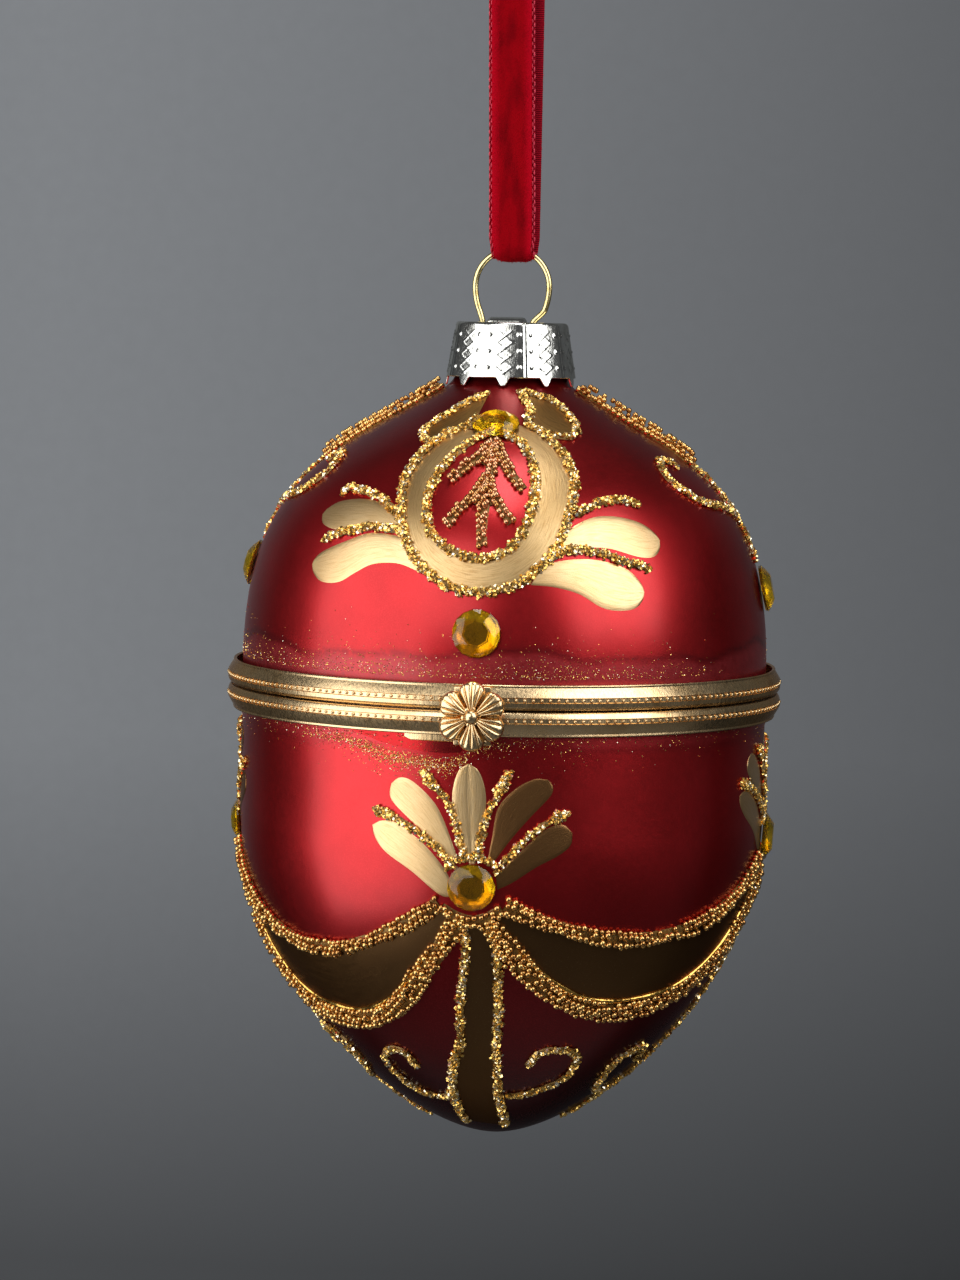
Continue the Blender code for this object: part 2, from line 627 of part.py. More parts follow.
def ribbon_route():
    # (place, direction along the ribbon, width, cup) from the knot, round the wire and back.
    top = HANG_HEIGHT + KNOT_RISE - SEAT_GAP
    route = []
    for height in np.linspace(top, FOLD_HEIGHT, 12)[:-1]:
        near = max(0.0, 1 - (height - FOLD_HEIGHT) / RIBBON_GATHER)
        place_now = Vector((strand_x(height, False), -FOLD_RADIUS, height))
        route.append((place_now, Vector((0, 0, -1)), near))
    for turn in np.linspace(0.0, math.pi, 9):
        x = strand_x(FOLD_HEIGHT, False)
        x += (strand_x(FOLD_HEIGHT, True) - x) * turn / math.pi
        y = -FOLD_RADIUS * math.cos(turn)
        z = FOLD_HEIGHT - FOLD_RADIUS * math.sin(turn)
        route.append((Vector((x, y, z)), Vector((0, math.sin(turn), -math.cos(turn))), 1.0))
    for height in np.linspace(FOLD_HEIGHT, top, 12)[1:]:
        near = max(0.0, 1 - (height - FOLD_HEIGHT) / RIBBON_GATHER)
        place_now = Vector((strand_x(height, True), FOLD_RADIUS, height))
        route.append((place_now, Vector((0, 0, 1)), near))
    return route


def make_ribbon(material):
    rings = []
    columns = (-0.5, -0.25, 0.0, 0.25, 0.5)
    for spot, along, near in ribbon_route():
        width = RIBBON_WIDTH + (RIBBON_FOLD_WIDTH - RIBBON_WIDTH) * near
        face = along.cross(Vector((1, 0, 0))).normalized()
        cup = RIBBON_FOLD_CUP * near * max(0.0, 1 - abs(along.z))
        ring = []
        for side in (1, -1):
            for u in columns[::side]:
                sink = Vector((0, 0, -cup * (2 * u) ** 2))
                ring.append(spot + Vector((u * width, 0, 0)) + face * side * RIBBON_THICKNESS / 2 + sink)
        rings.append(ring)
    add_part("ribbon", loft_mesh("ribbon", rings), material, "hanging_point")


def make_knot(material):
    x = strand_x(HANG_HEIGHT, False) + RIBBON_STAGGER / 2
    foot = HANG_HEIGHT + KNOT_RISE
    half = Vector((KNOT_WIDTH / 2, KNOT_DEPTH / 2, KNOT_HEIGHT / 2))
    knot = add_part(
        "ribbon_knot", box_mesh("ribbon_knot", -half, half), material, "hanging_point",
        (x, 0.0, foot + KNOT_HEIGHT / 2),
    )
    soft = knot.modifiers.new("soft", "BEVEL")
    soft.width = KNOT_ROUNDING
    soft.segments = 3
    for name, side in (("ribbon_tail_front", -1), ("ribbon_tail_rear", 1)):
        rings = []
        start = Vector((x + side * TAIL_OFFSET[0], side * TAIL_OFFSET[1], foot + KNOT_HEIGHT + SEAT_GAP))
        for step in np.linspace(0.0, 1.0, 7):
            bend = TAIL_LEAN * step
            reach = TAIL_LENGTH * step
            curl = TAIL_CURL * step**2
            spot = start + Vector((side * reach * math.sin(bend), side * curl, reach * math.cos(bend)))
            across = Vector((math.cos(2 * bend), 0.0, -side * math.sin(2 * bend)))
            ring = []
            for u, v in ((-0.5, -0.5), (0.5, -0.5), (0.5, 0.5), (-0.5, 0.5)):
                ring.append(spot + across * u * RIBBON_WIDTH + Vector((0, v * RIBBON_THICKNESS, 0)))
            rings.append(ring)
        add_part(name, loft_mesh(name, rings), material, "hanging_point")


# Hinge and clasp

def axle_mesh(name, radius, start, end):
    # A rod on the rear hinge's axis.
    return rod_mesh(name, radius, (start, HINGE_Y, 0.0), (end, HINGE_Y, 0.0))


def make_hinge(material):
    half = HINGE_WIDTH / 2
    parting = half - KNUCKLE_LENGTH
    leaf_y = RIDGE_RADIUS + SEAT_GAP
    # Each leaf's own knuckles, and the lengths that it leaves free for the other leaf's.
    outer = ((-half, -parting), (parting, half))
    middle = ((KNUCKLE_GAP - parting, parting - KNUCKLE_GAP),)
    beside = ((-half - PIN_OVERHANG, KNUCKLE_GAP - parting), (parting - KNUCKLE_GAP, half + PIN_OVERHANG))
    levels = (
        ("upper", 1, "cap_rock", outer, ((-parting, parting),)),
        ("lower", -1, "egg_hinge", middle, beside),
    )
    for level, sign, pivot, knuckles, rooms in levels:
        heights = sorted((sign * (SEAM_FACE + LEAF_SETBACK), sign * (SEAM_FACE + BAND_HEIGHT)))
        name = "hinge_leaf_" + level
        plate = box_mesh(name, (-half, leaf_y, heights[0]), (half, leaf_y + LEAF_THICKNESS, heights[1]))
        leaf = add_part(name, plate, material, pivot)
        for start, end in rooms:
            room = axle_mesh("knuckle_room_" + level, KNUCKLE_RADIUS + KNUCKLE_GAP, start, end)
            combine(leaf, add_cutter("knuckle_room_" + level, room, pivot), "DIFFERENCE")
        for start, end in knuckles:
            knuckle = axle_mesh("knuckle_" + level, KNUCKLE_RADIUS, start, end)
            combine(leaf, add_cutter("knuckle_" + level, knuckle, pivot), "UNION")
        reach = half + BORE_OVERRUN
        bore = axle_mesh("pin_bore_" + level, PIN_RADIUS + PIN_CLEARANCE, -reach, reach)
        combine(leaf, add_cutter("pin_bore_" + level, bore, pivot), "DIFFERENCE")
    reach = half + PIN_OVERHANG
    add_part("hinge_pin", axle_mesh("hinge_pin", PIN_RADIUS, -reach, reach), material, "cap_rock")


def make_flower(material, face_y):
    # Rings of points from the boss outwards, then the flat back: each ring's share of the
    # radius, of the boss's rise and of the petals' thickness.
    sides = FLOWER_PETALS * PETAL_STEPS
    levels = (
        (0.12, 1.0, 0.0), (0.2, 0.75, 0.0), (0.28, 0.2, 0.6),
        (0.6, 0.0, 1.0), (0.86, 0.0, 0.85), (1.0, 0.0, 0.45),
    )
    bm = bmesh.new()
    rows = []
    for share, boss, swell in levels:
        row = []
        for k in range(sides):
            angle = math.tau * k / sides
            lobe = abs(math.cos(FLOWER_PETALS / 2 * angle)) ** 0.55
            radius = share * FLOWER_RADIUS * (1 - FLOWER_NOTCH * (1 - lobe) * share)
            depth = FLOWER_THICKNESS * swell * (0.72 + 0.28 * lobe) + BOSS_RISE * boss
            row.append((radius * math.sin(angle), face_y - depth, FLOWER_HEIGHT + radius * math.cos(angle)))
        rows.append(row)
    rows.append([(x, face_y, z) for x, _, z in rows[-1]])
    rows = [[bm.verts.new(point) for point in row] for row in rows]
    for near, far in zip(rows, rows[1:]):
        for k in range(sides):
            n = (k + 1) % sides
            bm.faces.new((near[k], near[n], far[n], far[k]))
    bm.faces.new(rows[0])
    bm.faces.new(rows[-1])
    add_part("clasp_flower", mesh_from("clasp_flower", bm), material, "clasp_flex")


def make_clasp(material):
    back = CLASP_Y
    front = CLASP_Y - TONGUE_THICKNESS
    half = TONGUE_WIDTH / 2
    parting = (TONGUE_FLEX_LINE - SEAT_GAP / 2, TONGUE_FLEX_LINE + SEAT_GAP / 2)
    mount = box_mesh("clasp_mount", (-half, front, parting[1]), (half, back, MOUNT_TOP))
    add_part("clasp_mount", mount, material, "cap_rock")
    plate = box_mesh("clasp_tongue", (-half, front, TONGUE_FOOT), (half, back, parting[0]))
    tongue = add_part("clasp_tongue", plate, material, "clasp_flex")
    detent_radius = TONGUE_THICKNESS / 2 + DETENT_DEPTH
    detent_y = back + DETENT_DEPTH - detent_radius
    detent_z = TONGUE_FOOT + detent_radius
    end = DETENT_WIDTH / 2
    bead = rod_mesh("detent", detent_radius, (-end, detent_y, detent_z), (end, detent_y, detent_z), 12)
    combine(tongue, add_cutter("detent", bead, "clasp_flex"), "UNION")
    make_flower(material, front - SEAT_GAP)

    inner = EGG_RADIUS + SEAT_GAP
    top = -SEAM_FACE - BAND_WEB - SEAT_GAP
    foot = -SEAM_FACE - BAND_HEIGHT - CATCH_DROP
    rings = []
    for angle in np.linspace(CATCH_FROM, CATCH_TO, 6):
        ring = []
        outer = inner + CATCH_SHEET
        for radius, height in ((inner, top), (outer, top), (outer, foot), (inner, foot)):
            ring.append((radius * math.sin(angle), -radius * math.cos(angle), height))
        rings.append(ring)
    add_part("catch_plate", loft_mesh("catch_plate", rings), material, "egg_hinge")


# Stones and trim

def make_gem(name, angle, run, pivot, material):
    outline = [
        (0.0, GEM_HEIGHT), (GEM_TABLE, GEM_HEIGHT), (GEM_RADIUS, GEM_GIRDLE), (GEM_RADIUS, 0.0), (0.0, 0.0),
    ]
    spot, outward = glass_spot(angle, run)
    gem = turned_part(name, outline, material, pivot, GEM_SIDES, True, spot)
    gem.rotation_euler = outward.to_track_quat("Z", "Y").to_euler()


def make_gems(material):
    for side, degrees in SIDES.items():
        angle = math.radians(degrees)
        make_gem("gem_upper_" + side, angle, run_at(GEM_UPPER[side]), "cap_rock", material)
        make_gem("gem_lower_" + side, angle, run_at(GEM_LOWER[side]), "egg_hinge", material)
    ring_top = run_at(BEAD_RING_CENTRE) + BEAD_RING_HALF_LENGTH + RIM_WIDTH / 2
    for side in ("front", "back"):
        run = ring_top + GEM_MEDALLION_GAP + GEM_RADIUS
        make_gem("gem_medallion_" + side, math.radians(SIDES[side]), run, "cap_rock", material)


def drawn(face, points, level, hand=1):
    # A line of a motif as (angle, run) pairs. Hand -1 mirrors it.
    route = []
    for across, along in points:
        run = run_at(level) + along * DRAWN_UNIT
        radius = float(np.interp(run, OUTLINE_RUN, OUTLINE[:, 0]))
        route.append((face + hand * across * DRAWN_UNIT / radius, run))
    return route


def oval(face, centre, half_width, half_length, turns):
    # Points of an oval drawn on the glass, as (angle, run) pairs.
    middle = run_at(centre)
    route = []
    for turn in turns:
        run = middle + half_length * math.cos(turn)
        radius = float(np.interp(run, OUTLINE_RUN, OUTLINE[:, 0]))
        route.append((face + half_width * math.sin(turn) / radius, run))
    return route


def swag_route(start, reach, hand, side_end):
    # Round one swag: along its upper border, and back along the deeper lower one.
    # The end at the egg's side, 0 or 1 for the first or the last, is the higher one.
    borders = (
        (SWAG_UPPER_START, SWAG_TOP, SWAG_SAG[hand], SWAG_UPPER_ROUND, 1),
        (SWAG_LOWER_START, SWAG_FOOT, SWAG_BELLY[hand], SWAG_LOWER_ROUND, -1),
    )
    route = []
    for inset_angle, height, sag, power, way in borders:
        span = reach - 2 * inset_angle
        steps = math.ceil(span * EGG_RADIUS / LINE_PITCH)
        for t in np.linspace(0.0, 1.0, steps + 1)[::way]:
            bow = 1 - abs(2 * t - 1) ** power
            rise = SWAG_SIDE_RISE * (1 - abs(side_end - t))
            route.append((start + inset_angle + span * t, run_at(height + rise - sag * bow)))
    return route


def make_trim(gold, beads):
    for side in ("front", "back"):
        face = math.radians(SIDES[side])
        turns = np.linspace(RIM_BREAK, math.tau - RIM_BREAK, 27)
        route = oval(face, RIM_CENTRE, RIM_HALF_WIDTH, RIM_HALF_LENGTH, turns)
        rim = raised_line("medallion_rim_" + side, route, RIM_WIDTH, RIM_HEIGHT, gold)
        for number, points in enumerate(WING_LINES):
            join_line(rim, number, drawn(face, points, RIM_CENTRE))
        turns = np.linspace(0.0, math.tau, 21)[:-1]
        route = oval(face, BEAD_RING_CENTRE, BEAD_RING_HALF_WIDTH, BEAD_RING_HALF_LENGTH, turns)
        raised_line("medallion_ring_" + side, route, RIM_WIDTH, RIM_HEIGHT, gold, closed=True)
        route = drawn(face, SPRIG_STEM, BEAD_RING_CENTRE)
        stem = raised_line("sprig_" + side, route, LINE_WIDTH, RIM_HEIGHT, beads)
        for number, points in enumerate(SPRIG_TWIGS):
            join_line(stem, number, drawn(face, points, BEAD_RING_CENTRE))
        for hand, way in (("left", -1), ("right", 1)):
            route = []
            for t in np.linspace(0.0, 1.0, 4):
                angle = LEAF_ANGLES[0] + (LEAF_ANGLES[1] - LEAF_ANGLES[0]) * t
                drop = LEAF_DROPS[0] + (LEAF_DROPS[1] - LEAF_DROPS[0]) * t
                route.append((face + way * angle, run_at(SHOULDER_HEIGHT - drop)))
            raised_line(f"leaf_{side}_{hand}", route, LEAF_WIDTHS, LEAF_HEIGHT, gold)
    for side in ("left", "right"):
        angle = math.radians(SIDES[side])
        top = run_at(SHOULDER_HEIGHT + SIDE_STRIP_RISE)
        foot = run_at(SHOULDER_HEIGHT - SIDE_STRIP_DROP)
        route = [(angle, run) for run in np.linspace(top, foot, 6)]
        raised_line("side_strip_" + side, route, SIDE_STRIP_WIDTHS, SIDE_STRIP_HEIGHT, beads)
        end = run_at(GEM_UPPER[side]) + GEM_RADIUS + STONE_LINE_GAP
        steps = math.ceil((foot - SIDE_LINE_GAP - end) / LINE_PITCH)
        route = [(angle, run) for run in np.linspace(foot - SIDE_LINE_GAP, end, steps + 1)]
        line = raised_line("side_line_" + side, route, LINE_WIDTH, RIM_HEIGHT, gold)
        for number, hand in enumerate((-1, 1)):
            join_line(line, number, drawn(angle, SIDE_CURL, SHOULDER_HEIGHT, hand))
    corners = list(SIDES.items()) + [("front", SIDES["front"] + 360.0)]
    names = ("front_right", "back_right", "back_left", "front_left")
    for name, (_, near), (far_side, far) in zip(names, corners, corners[1:]):
        side_end = 1 if far_side in ("right", "left") else 0
        route = swag_route(math.radians(near), math.radians(far - near), name.split("_")[1], side_end)
        raised_line("swag_" + name, route, ROPE_WIDTH, ROPE_HEIGHT, beads, closed=True)
    for side, degrees in SIDES.items():
        face = math.radians(degrees)
        runs = np.linspace(run_at(STRIPE_TOP), STRIPE_TIP_GAP, 12)
        route = [(face, run) for run in runs]
        stripe = raised_line("stripe_" + side, route, STRIPE_WIDTH, STRIPE_HEIGHT, gold)
        for number, points in enumerate(STRIPE_CURLS):
            join_line(stripe, number, drawn(face, points, -BOWL_DEPTH))
        reach = GEM_RADIUS + FAN_ARC_GAP
        turns = np.linspace(-FAN_ARC_REACH, FAN_ARC_REACH, 7)
        route = oval(face, GEM_LOWER[side], reach, reach, turns)
        arc = raised_line("fan_" + side, route, LINE_WIDTH, RIM_HEIGHT, gold)
        for number, points in enumerate(FAN_LINES):
            root = points[0][1]
            sized = [(across, root + (along - root) * FAN_LENGTH[side]) for across, along in points]
            join_line(arc, number, drawn(face, sized, GEM_LOWER[side]))


clear_scene()
PARTS = new_collection("egg_ornament")
CUTTERS = new_collection("cutters")
make_pivots()
LACQUER = make_material("crimson_lacquer", (0.42, 0.01, 0.03), 0.35, 0.3)
BRASS = make_material("pale_brass", (0.72, 0.56, 0.33), 0.32, 1.0)
SILVER = make_material("bright_tinplate", (0.8, 0.79, 0.75), 0.18, 1.0)
WIRE = make_material("brassed_wire", (0.78, 0.66, 0.36), 0.25, 1.0)
VELVET = make_material("red_velvet", (0.45, 0.01, 0.03), 0.95)
AMBER = make_material("amber_stone", (0.85, 0.5, 0.03), 0.08)
GOLD = make_material("gold_glitter", (0.66, 0.5, 0.22), 0.45, 0.7)
BEADS = make_material("copper_beads", (0.6, 0.38, 0.16), 0.3, 0.5)
make_shells(LACQUER)
make_bands(BRASS)
make_cap(SILVER)
make_wire(WIRE)
make_ribbon(VELVET)
make_knot(VELVET)
make_hinge(BRASS)
make_clasp(BRASS)
make_gems(AMBER)
make_trim(GOLD, BEADS)
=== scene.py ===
import math

import bmesh
import bpy
import numpy as np
from mathutils import Matrix, Quaternion, Vector


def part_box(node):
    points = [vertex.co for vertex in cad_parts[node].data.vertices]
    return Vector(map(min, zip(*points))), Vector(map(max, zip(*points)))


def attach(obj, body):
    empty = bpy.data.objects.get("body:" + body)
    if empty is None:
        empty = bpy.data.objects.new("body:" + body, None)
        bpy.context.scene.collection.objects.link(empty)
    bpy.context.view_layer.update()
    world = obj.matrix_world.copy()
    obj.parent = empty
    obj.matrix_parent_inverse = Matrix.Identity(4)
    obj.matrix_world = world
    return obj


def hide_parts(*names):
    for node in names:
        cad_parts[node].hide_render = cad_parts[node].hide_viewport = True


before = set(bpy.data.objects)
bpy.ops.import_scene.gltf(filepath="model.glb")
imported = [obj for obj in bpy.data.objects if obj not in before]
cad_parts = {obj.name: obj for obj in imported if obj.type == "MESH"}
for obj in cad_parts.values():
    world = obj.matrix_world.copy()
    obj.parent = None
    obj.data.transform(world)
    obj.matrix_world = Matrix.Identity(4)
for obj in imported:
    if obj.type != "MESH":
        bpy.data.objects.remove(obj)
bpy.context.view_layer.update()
scene = bpy.context.scene
mm = 0.001
rng = np.random.default_rng(11)

bandLow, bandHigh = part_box("upper_bezel")
seamGap = 0.3
eggCentre = (bandLow + bandHigh) / 2
eggCentre.z = bandLow.z - seamGap / 2 * mm
sides = {"front": 0, "right": 90, "back": 180, "left": 270}


# Mesh helpers

def makeMesh(name, points, faces, material, smooth=True, uv=None, values=None):
    mesh = bpy.data.meshes.new(name)
    points = np.asarray(points, float).reshape(-1, 3)
    faces = faces.tolist() if isinstance(faces, np.ndarray) else faces
    mesh.from_pydata((points * mm).tolist(), [], faces)
    if smooth:
        mesh.shade_smooth()
    if uv is not None:
        corners = np.zeros(len(mesh.loops), np.int32)
        mesh.loops.foreach_get("vertex_index", corners)
        layer = mesh.uv_layers.new(name="along")
        layer.data.foreach_set("uv", np.asarray(uv, np.float32).reshape(-1, 2)[corners].ravel())
    for key, value in (values or {}).items():
        layer = mesh.attributes.new(key, "FLOAT", "POINT")
        layer.data.foreach_set("value", np.asarray(value, np.float32).ravel())
    obj = bpy.data.objects.new(name, mesh)
    obj.location = eggCentre
    scene.collection.objects.link(obj)
    mesh.materials.append(material)
    return obj


def gridFaces(rows, columns, wrapRows=False, wrapColumns=False, start=0):
    i = np.arange(rows if wrapRows else rows - 1)[:, None]
    j = np.arange(columns if wrapColumns else columns - 1)[None, :]
    near, far = i * columns, (i + 1) % rows * columns
    left, right = j, (j + 1) % columns
    corners = np.broadcast_arrays(near + left, near + right, far + right, far + left)
    return np.stack(corners, axis=-1).reshape(-1, 4) + start


def prismFaces(rows, columns):
    # The walls of a closed section that runs along a path, and both its ends.
    last = (rows - 1) * columns
    ends = [list(range(columns)), [last + k for k in range(columns)]]
    return gridFaces(rows, columns, False, True).tolist() + ends


def unit(rows):
    return rows / np.linalg.norm(rows, axis=1)[:, None]


def runOf(points):
    # How far along a line each of its points lies.
    return np.concatenate(([0], np.cumsum(np.linalg.norm(np.diff(points, axis=0), axis=1))))


def sampled(line, at, marks):
    # The line's coordinates at the given marks along it.
    return np.column_stack([np.interp(at, marks, line[:, k]) for k in range(line.shape[1])])


def scaled(color, factor):
    return tuple(c * factor for c in color)


def around(angles):
    return np.stack((np.sin(angles), -np.cos(angles)), axis=-1)


def outward(obj):
    # Turns every face of a closed mesh outwards.
    bm = bmesh.new()
    bm.from_mesh(obj.data)
    bmesh.ops.recalc_face_normals(bm, faces=bm.faces)
    bm.to_mesh(obj.data)
    bm.free()
    return obj


def sharpen(obj, degrees):
    obj.data.set_sharp_from_angle(angle=math.radians(degrees))
    return obj


def settle(obj, body, slot, *nodes):
    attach(obj, body)
    if nodes:
        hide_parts(*nodes)
    return obj


def turned(name, outline, material, steps=192, faceted=30, closed=False):
    # A profile of (radius, height) pairs, turned round the egg's axis.
    outline = np.asarray(outline, float)
    angles = np.linspace(0, math.tau, steps, endpoint=False)
    points = np.zeros((len(outline), steps, 3))
    points[:, :, :2] = outline[:, None, :1] * around(angles)[None]
    points[:, :, 2] = outline[:, 1:]
    uv = np.stack(np.broadcast_arrays(angles[None] / math.tau, runOf(outline)[:, None] / 100), axis=-1)
    obj = makeMesh(name, points, gridFaces(len(outline), steps, closed, True), material, uv=uv)
    return sharpen(outward(obj), faceted) if faceted else obj


def tube(name, path, radius, material, sides=12):
    # A round rod along a path of points.
    path = np.asarray(path, float)
    along = unit(np.gradient(path, axis=0))
    side = unit(np.cross(along, (0, 1, 0.001)))  # never quite along the path
    up = np.cross(side, along)
    turn = np.linspace(0, math.tau, sides, endpoint=False)
    radius = np.broadcast_to(radius, len(path))[:, None, None]
    ring = side[:, None] * np.cos(turn)[None, :, None] + up[:, None] * np.sin(turn)[None, :, None]
    points = path[:, None] + ring * radius
    uv = np.stack(np.broadcast_arrays(runOf(path)[:, None] / 100, turn[None] / math.tau), axis=-1)
    return sharpen(outward(makeMesh(name, points, prismFaces(len(path), sides), material, uv=uv)), 50)


def block(name, low, high, material, rounding):
    bm = bmesh.new()
    size = Vector(high) - Vector(low)
    middle = (Vector(high) + Vector(low)) / 2
    bmesh.ops.create_cube(bm, size=1, matrix=Matrix.Translation(middle) @ Matrix.Diagonal((*size, 1)))
    bmesh.ops.bevel(bm, geom=bm.edges, offset=rounding, segments=3, affect="EDGES", profile=0.5)
    points = [v.co[:] for v in bm.verts]
    faces = [[v.index for v in f.verts] for f in bm.faces]
    bm.free()
    return sharpen(makeMesh(name, points, faces, material), 40)


def templateOf(make):
    bm = bmesh.new()
    make(bm)
    bmesh.ops.triangulate(bm, faces=bm.faces)
    bm.verts.ensure_lookup_table()
    points = np.array([v.co[:] for v in bm.verts])
    faces = np.array([[v.index for v in f.verts] for f in bm.faces])
    bm.free()
    return points, faces


ball = templateOf(lambda bm: bmesh.ops.create_icosphere(bm, subdivisions=2, radius=1))
chip = templateOf(lambda bm: bmesh.ops.create_cube(bm, size=2))


def randomTurns(count):
    q = rng.normal(size=(count, 4))
    w, x, y, z = unit(q).T
    rows = [
        [1 - 2 * (y * y + z * z), 2 * (x * y - z * w), 2 * (x * z + y * w)],
        [2 * (x * y + z * w), 1 - 2 * (x * x + z * z), 2 * (y * z - x * w)],
        [2 * (x * z - y * w), 2 * (y * z + x * w), 1 - 2 * (x * x + y * y)],
    ]
    return np.moveaxis(np.array(rows), 2, 0)


def scatter(name, template, centres, sizes, material, smooth=True, rough=0.0, tumble=True):
    # One mesh of many small copies. Each copy has its own random shade.
    points, faces = template
    count = len(centres)
    sizes = np.asarray(sizes, float).reshape(count, -1)
    copies = points[None] * sizes[:, None, :]
    if rough:
        copies += rng.normal(0, rough, copies.shape)
    if tumble:
        copies = np.einsum("nij,nkj->nki", randomTurns(count), copies)
    copies = copies + np.asarray(centres)[:, None]
    allFaces = (faces[None] + (np.arange(count) * len(points))[:, None, None]).reshape(-1, 3)
    shade = np.repeat(rng.random(count), len(points))
    return makeMesh(name, copies, allFaces, material, smooth=smooth, values={"shade": shade})


# Material helpers

def newMaterial(name):
    material = bpy.data.materials.new(name)
    material.use_nodes = True
    tree = material.node_tree
    return material, tree, tree.nodes["Principled BSDF"]


def addNode(tree, kind, inputs=None, **settings):
    made = tree.nodes.new(kind)
    for key, value in settings.items():
        setattr(made, key, value)
    for key, value in (inputs or {}).items():
        if isinstance(value, bpy.types.NodeSocket):
            tree.links.new(value, made.inputs[key])
        else:
            made.inputs[key].default_value = value
    return made


def place(tree, stretch=(1, 1, 1)):
    # The place on the piece in millimetres, stretched for grain that runs one way.
    spot = addNode(tree, "ShaderNodeTexCoord").outputs["Object"]
    factor = tuple(1000 * s for s in stretch)
    return addNode(tree, "ShaderNodeVectorMath", {0: spot, 1: factor}, operation="MULTIPLY").outputs[0]


def placeAlong(tree, stretch):
    spot = addNode(tree, "ShaderNodeUVMap", uv_map="along").outputs["UV"]
    return addNode(tree, "ShaderNodeVectorMath", {0: spot, 1: stretch}, operation="MULTIPLY").outputs[0]


def noise(tree, spot, scale, detail=2.0, roughness=0.5):
    inputs = {"Vector": spot, "Scale": scale, "Detail": detail, "Roughness": roughness}
    return addNode(tree, "ShaderNodeTexNoise", inputs).outputs["Fac"]


def ramp(tree, value, stops):
    made = addNode(tree, "ShaderNodeValToRGB", {"Fac": value})
    steps = made.color_ramp.elements
    while len(steps) < len(stops):
        steps.new(0.5)
    for step, (at, color) in zip(steps, stops):
        step.position = at
        step.color = (*color, 1) if isinstance(color, tuple) else (color, color, color, 1)
    return made.outputs["Color"]


def span(tree, value, low, high, toLow=0.0, toHigh=1.0):
    inputs = {"Value": value, "From Min": low, "From Max": high, "To Min": toLow, "To Max": toHigh}
    return addNode(tree, "ShaderNodeMapRange", inputs).outputs["Result"]


def mixColor(tree, factor, a, b):
    made = addNode(tree, "ShaderNodeMix", data_type="RGBA")
    for index, value in ((0, factor), (6, a), (7, b)):
        if isinstance(value, bpy.types.NodeSocket):
            tree.links.new(value, made.inputs[index])
        else:
            made.inputs[index].default_value = (*value, 1) if isinstance(value, tuple) else value
    return made.outputs[2]


def calc(tree, operation, a, b):
    return addNode(tree, "ShaderNodeMath", {0: a, 1: b}, operation=operation).outputs[0]


def attribute(tree, name):
    return addNode(tree, "ShaderNodeAttribute", attribute_name=name).outputs["Fac"]


def bump(tree, shader, height, depth, strength=1.0):
    inputs = {"Height": height, "Distance": depth * mm, "Strength": strength}
    tree.links.new(addNode(tree, "ShaderNodeBump", inputs).outputs["Normal"], shader.inputs["Normal"])


def plug(tree, shader, **sockets):
    names = {"color": "Base Color", "rough": "Roughness", "metal": "Metallic"}
    for key, value in sockets.items():
        socket = shader.inputs[names[key]]
        if isinstance(value, bpy.types.NodeSocket):
            tree.links.new(value, socket)
        else:
            socket.default_value = (*value, 1) if isinstance(value, tuple) else value


def setFixed(shader, values):
    for key, value in values.items():
        shader.inputs[key].default_value = value


def grainMaterial(name, grain, stops, rough, metal=0.0, depth=None, strength=1.0, by=None):
    # One grain (scale, detail, roughness) drives gloss, relief and colour.
    # An attribute of the mesh can give the colour instead.
    material, tree, shader = newMaterial(name)
    pattern = noise(tree, place(tree), *grain)
    color = ramp(tree, attribute(tree, by) if by else pattern, stops)
    plug(tree, shader, color=color, rough=span(tree, pattern, 0.3, 0.7, *rough), metal=metal)
    if depth:
        bump(tree, shader, pattern, depth, strength)
    return material


# Camera

view = {
    "distance": 550, "azimuth": 5.9, "rise": 49.8, "tilt": 0.646, "pan": 0.345, "roll": 1.2,
    "pictureHeight": 1280, "focal": 3990, "sensor": 24,
}


def makeCamera():
    data = bpy.data.cameras.new("camera")
    data.sensor_fit = "VERTICAL"
    data.sensor_height = view["sensor"]
    data.lens = view["focal"] / view["pictureHeight"] * view["sensor"]
    data.clip_start = 0.01
    data.clip_end = 20
    camera = bpy.data.objects.new("camera", data)
    turn = math.radians(view["azimuth"])
    back = Vector((math.sin(turn), -math.cos(turn), 0)) * view["distance"] + Vector((0, 0, view["rise"]))
    camera.location = eggCentre + back * mm
    turn = (-back).to_track_quat("-Z", "Y")
    for axis, key in (((0, 0, 1), "roll"), ((1, 0, 0), "tilt"), ((0, 1, 0), "pan")):
        turn = turn @ Quaternion(axis, math.radians(view[key]))
    camera.rotation_mode = "QUATERNION"
    camera.rotation_quaternion = turn
    scene.collection.objects.link(camera)
    scene.camera = camera


makeCamera()
print("camera set")


# Velvet ribbon

ribbon = {
    "width": 6.35, "thickness": 1.0, "edge": 0.45, "foldWidth": 6.0, "cup": 1.25, "gather": 1.4,
    "lean": -1.2, "stagger": 1.1, "foldShare": 0.3, "foldRadius": 1.43, "foldHeight": 60.23,
    "ringTop": 60.45, "hang": 98.05, "top": 99.75, "loopPitch": 0.5, "loopSize": (0.12, 0.1, 0.36),
    "loopSway": 0.13, "pile": (0.25, 0.0002, 0.003), "pileDark": (0.15, 0.0001, 0.002),
    "pileSheenTone": (0.5, 0.002, 0.014), "back": (0.4, 0.006, 0.02), "selvage": (0.74, 0.03, 0.075),
    "hairs": 5200, "hairLength": 0.42, "hairWidth": 0.07, "edgeHairs": 0.55,
}


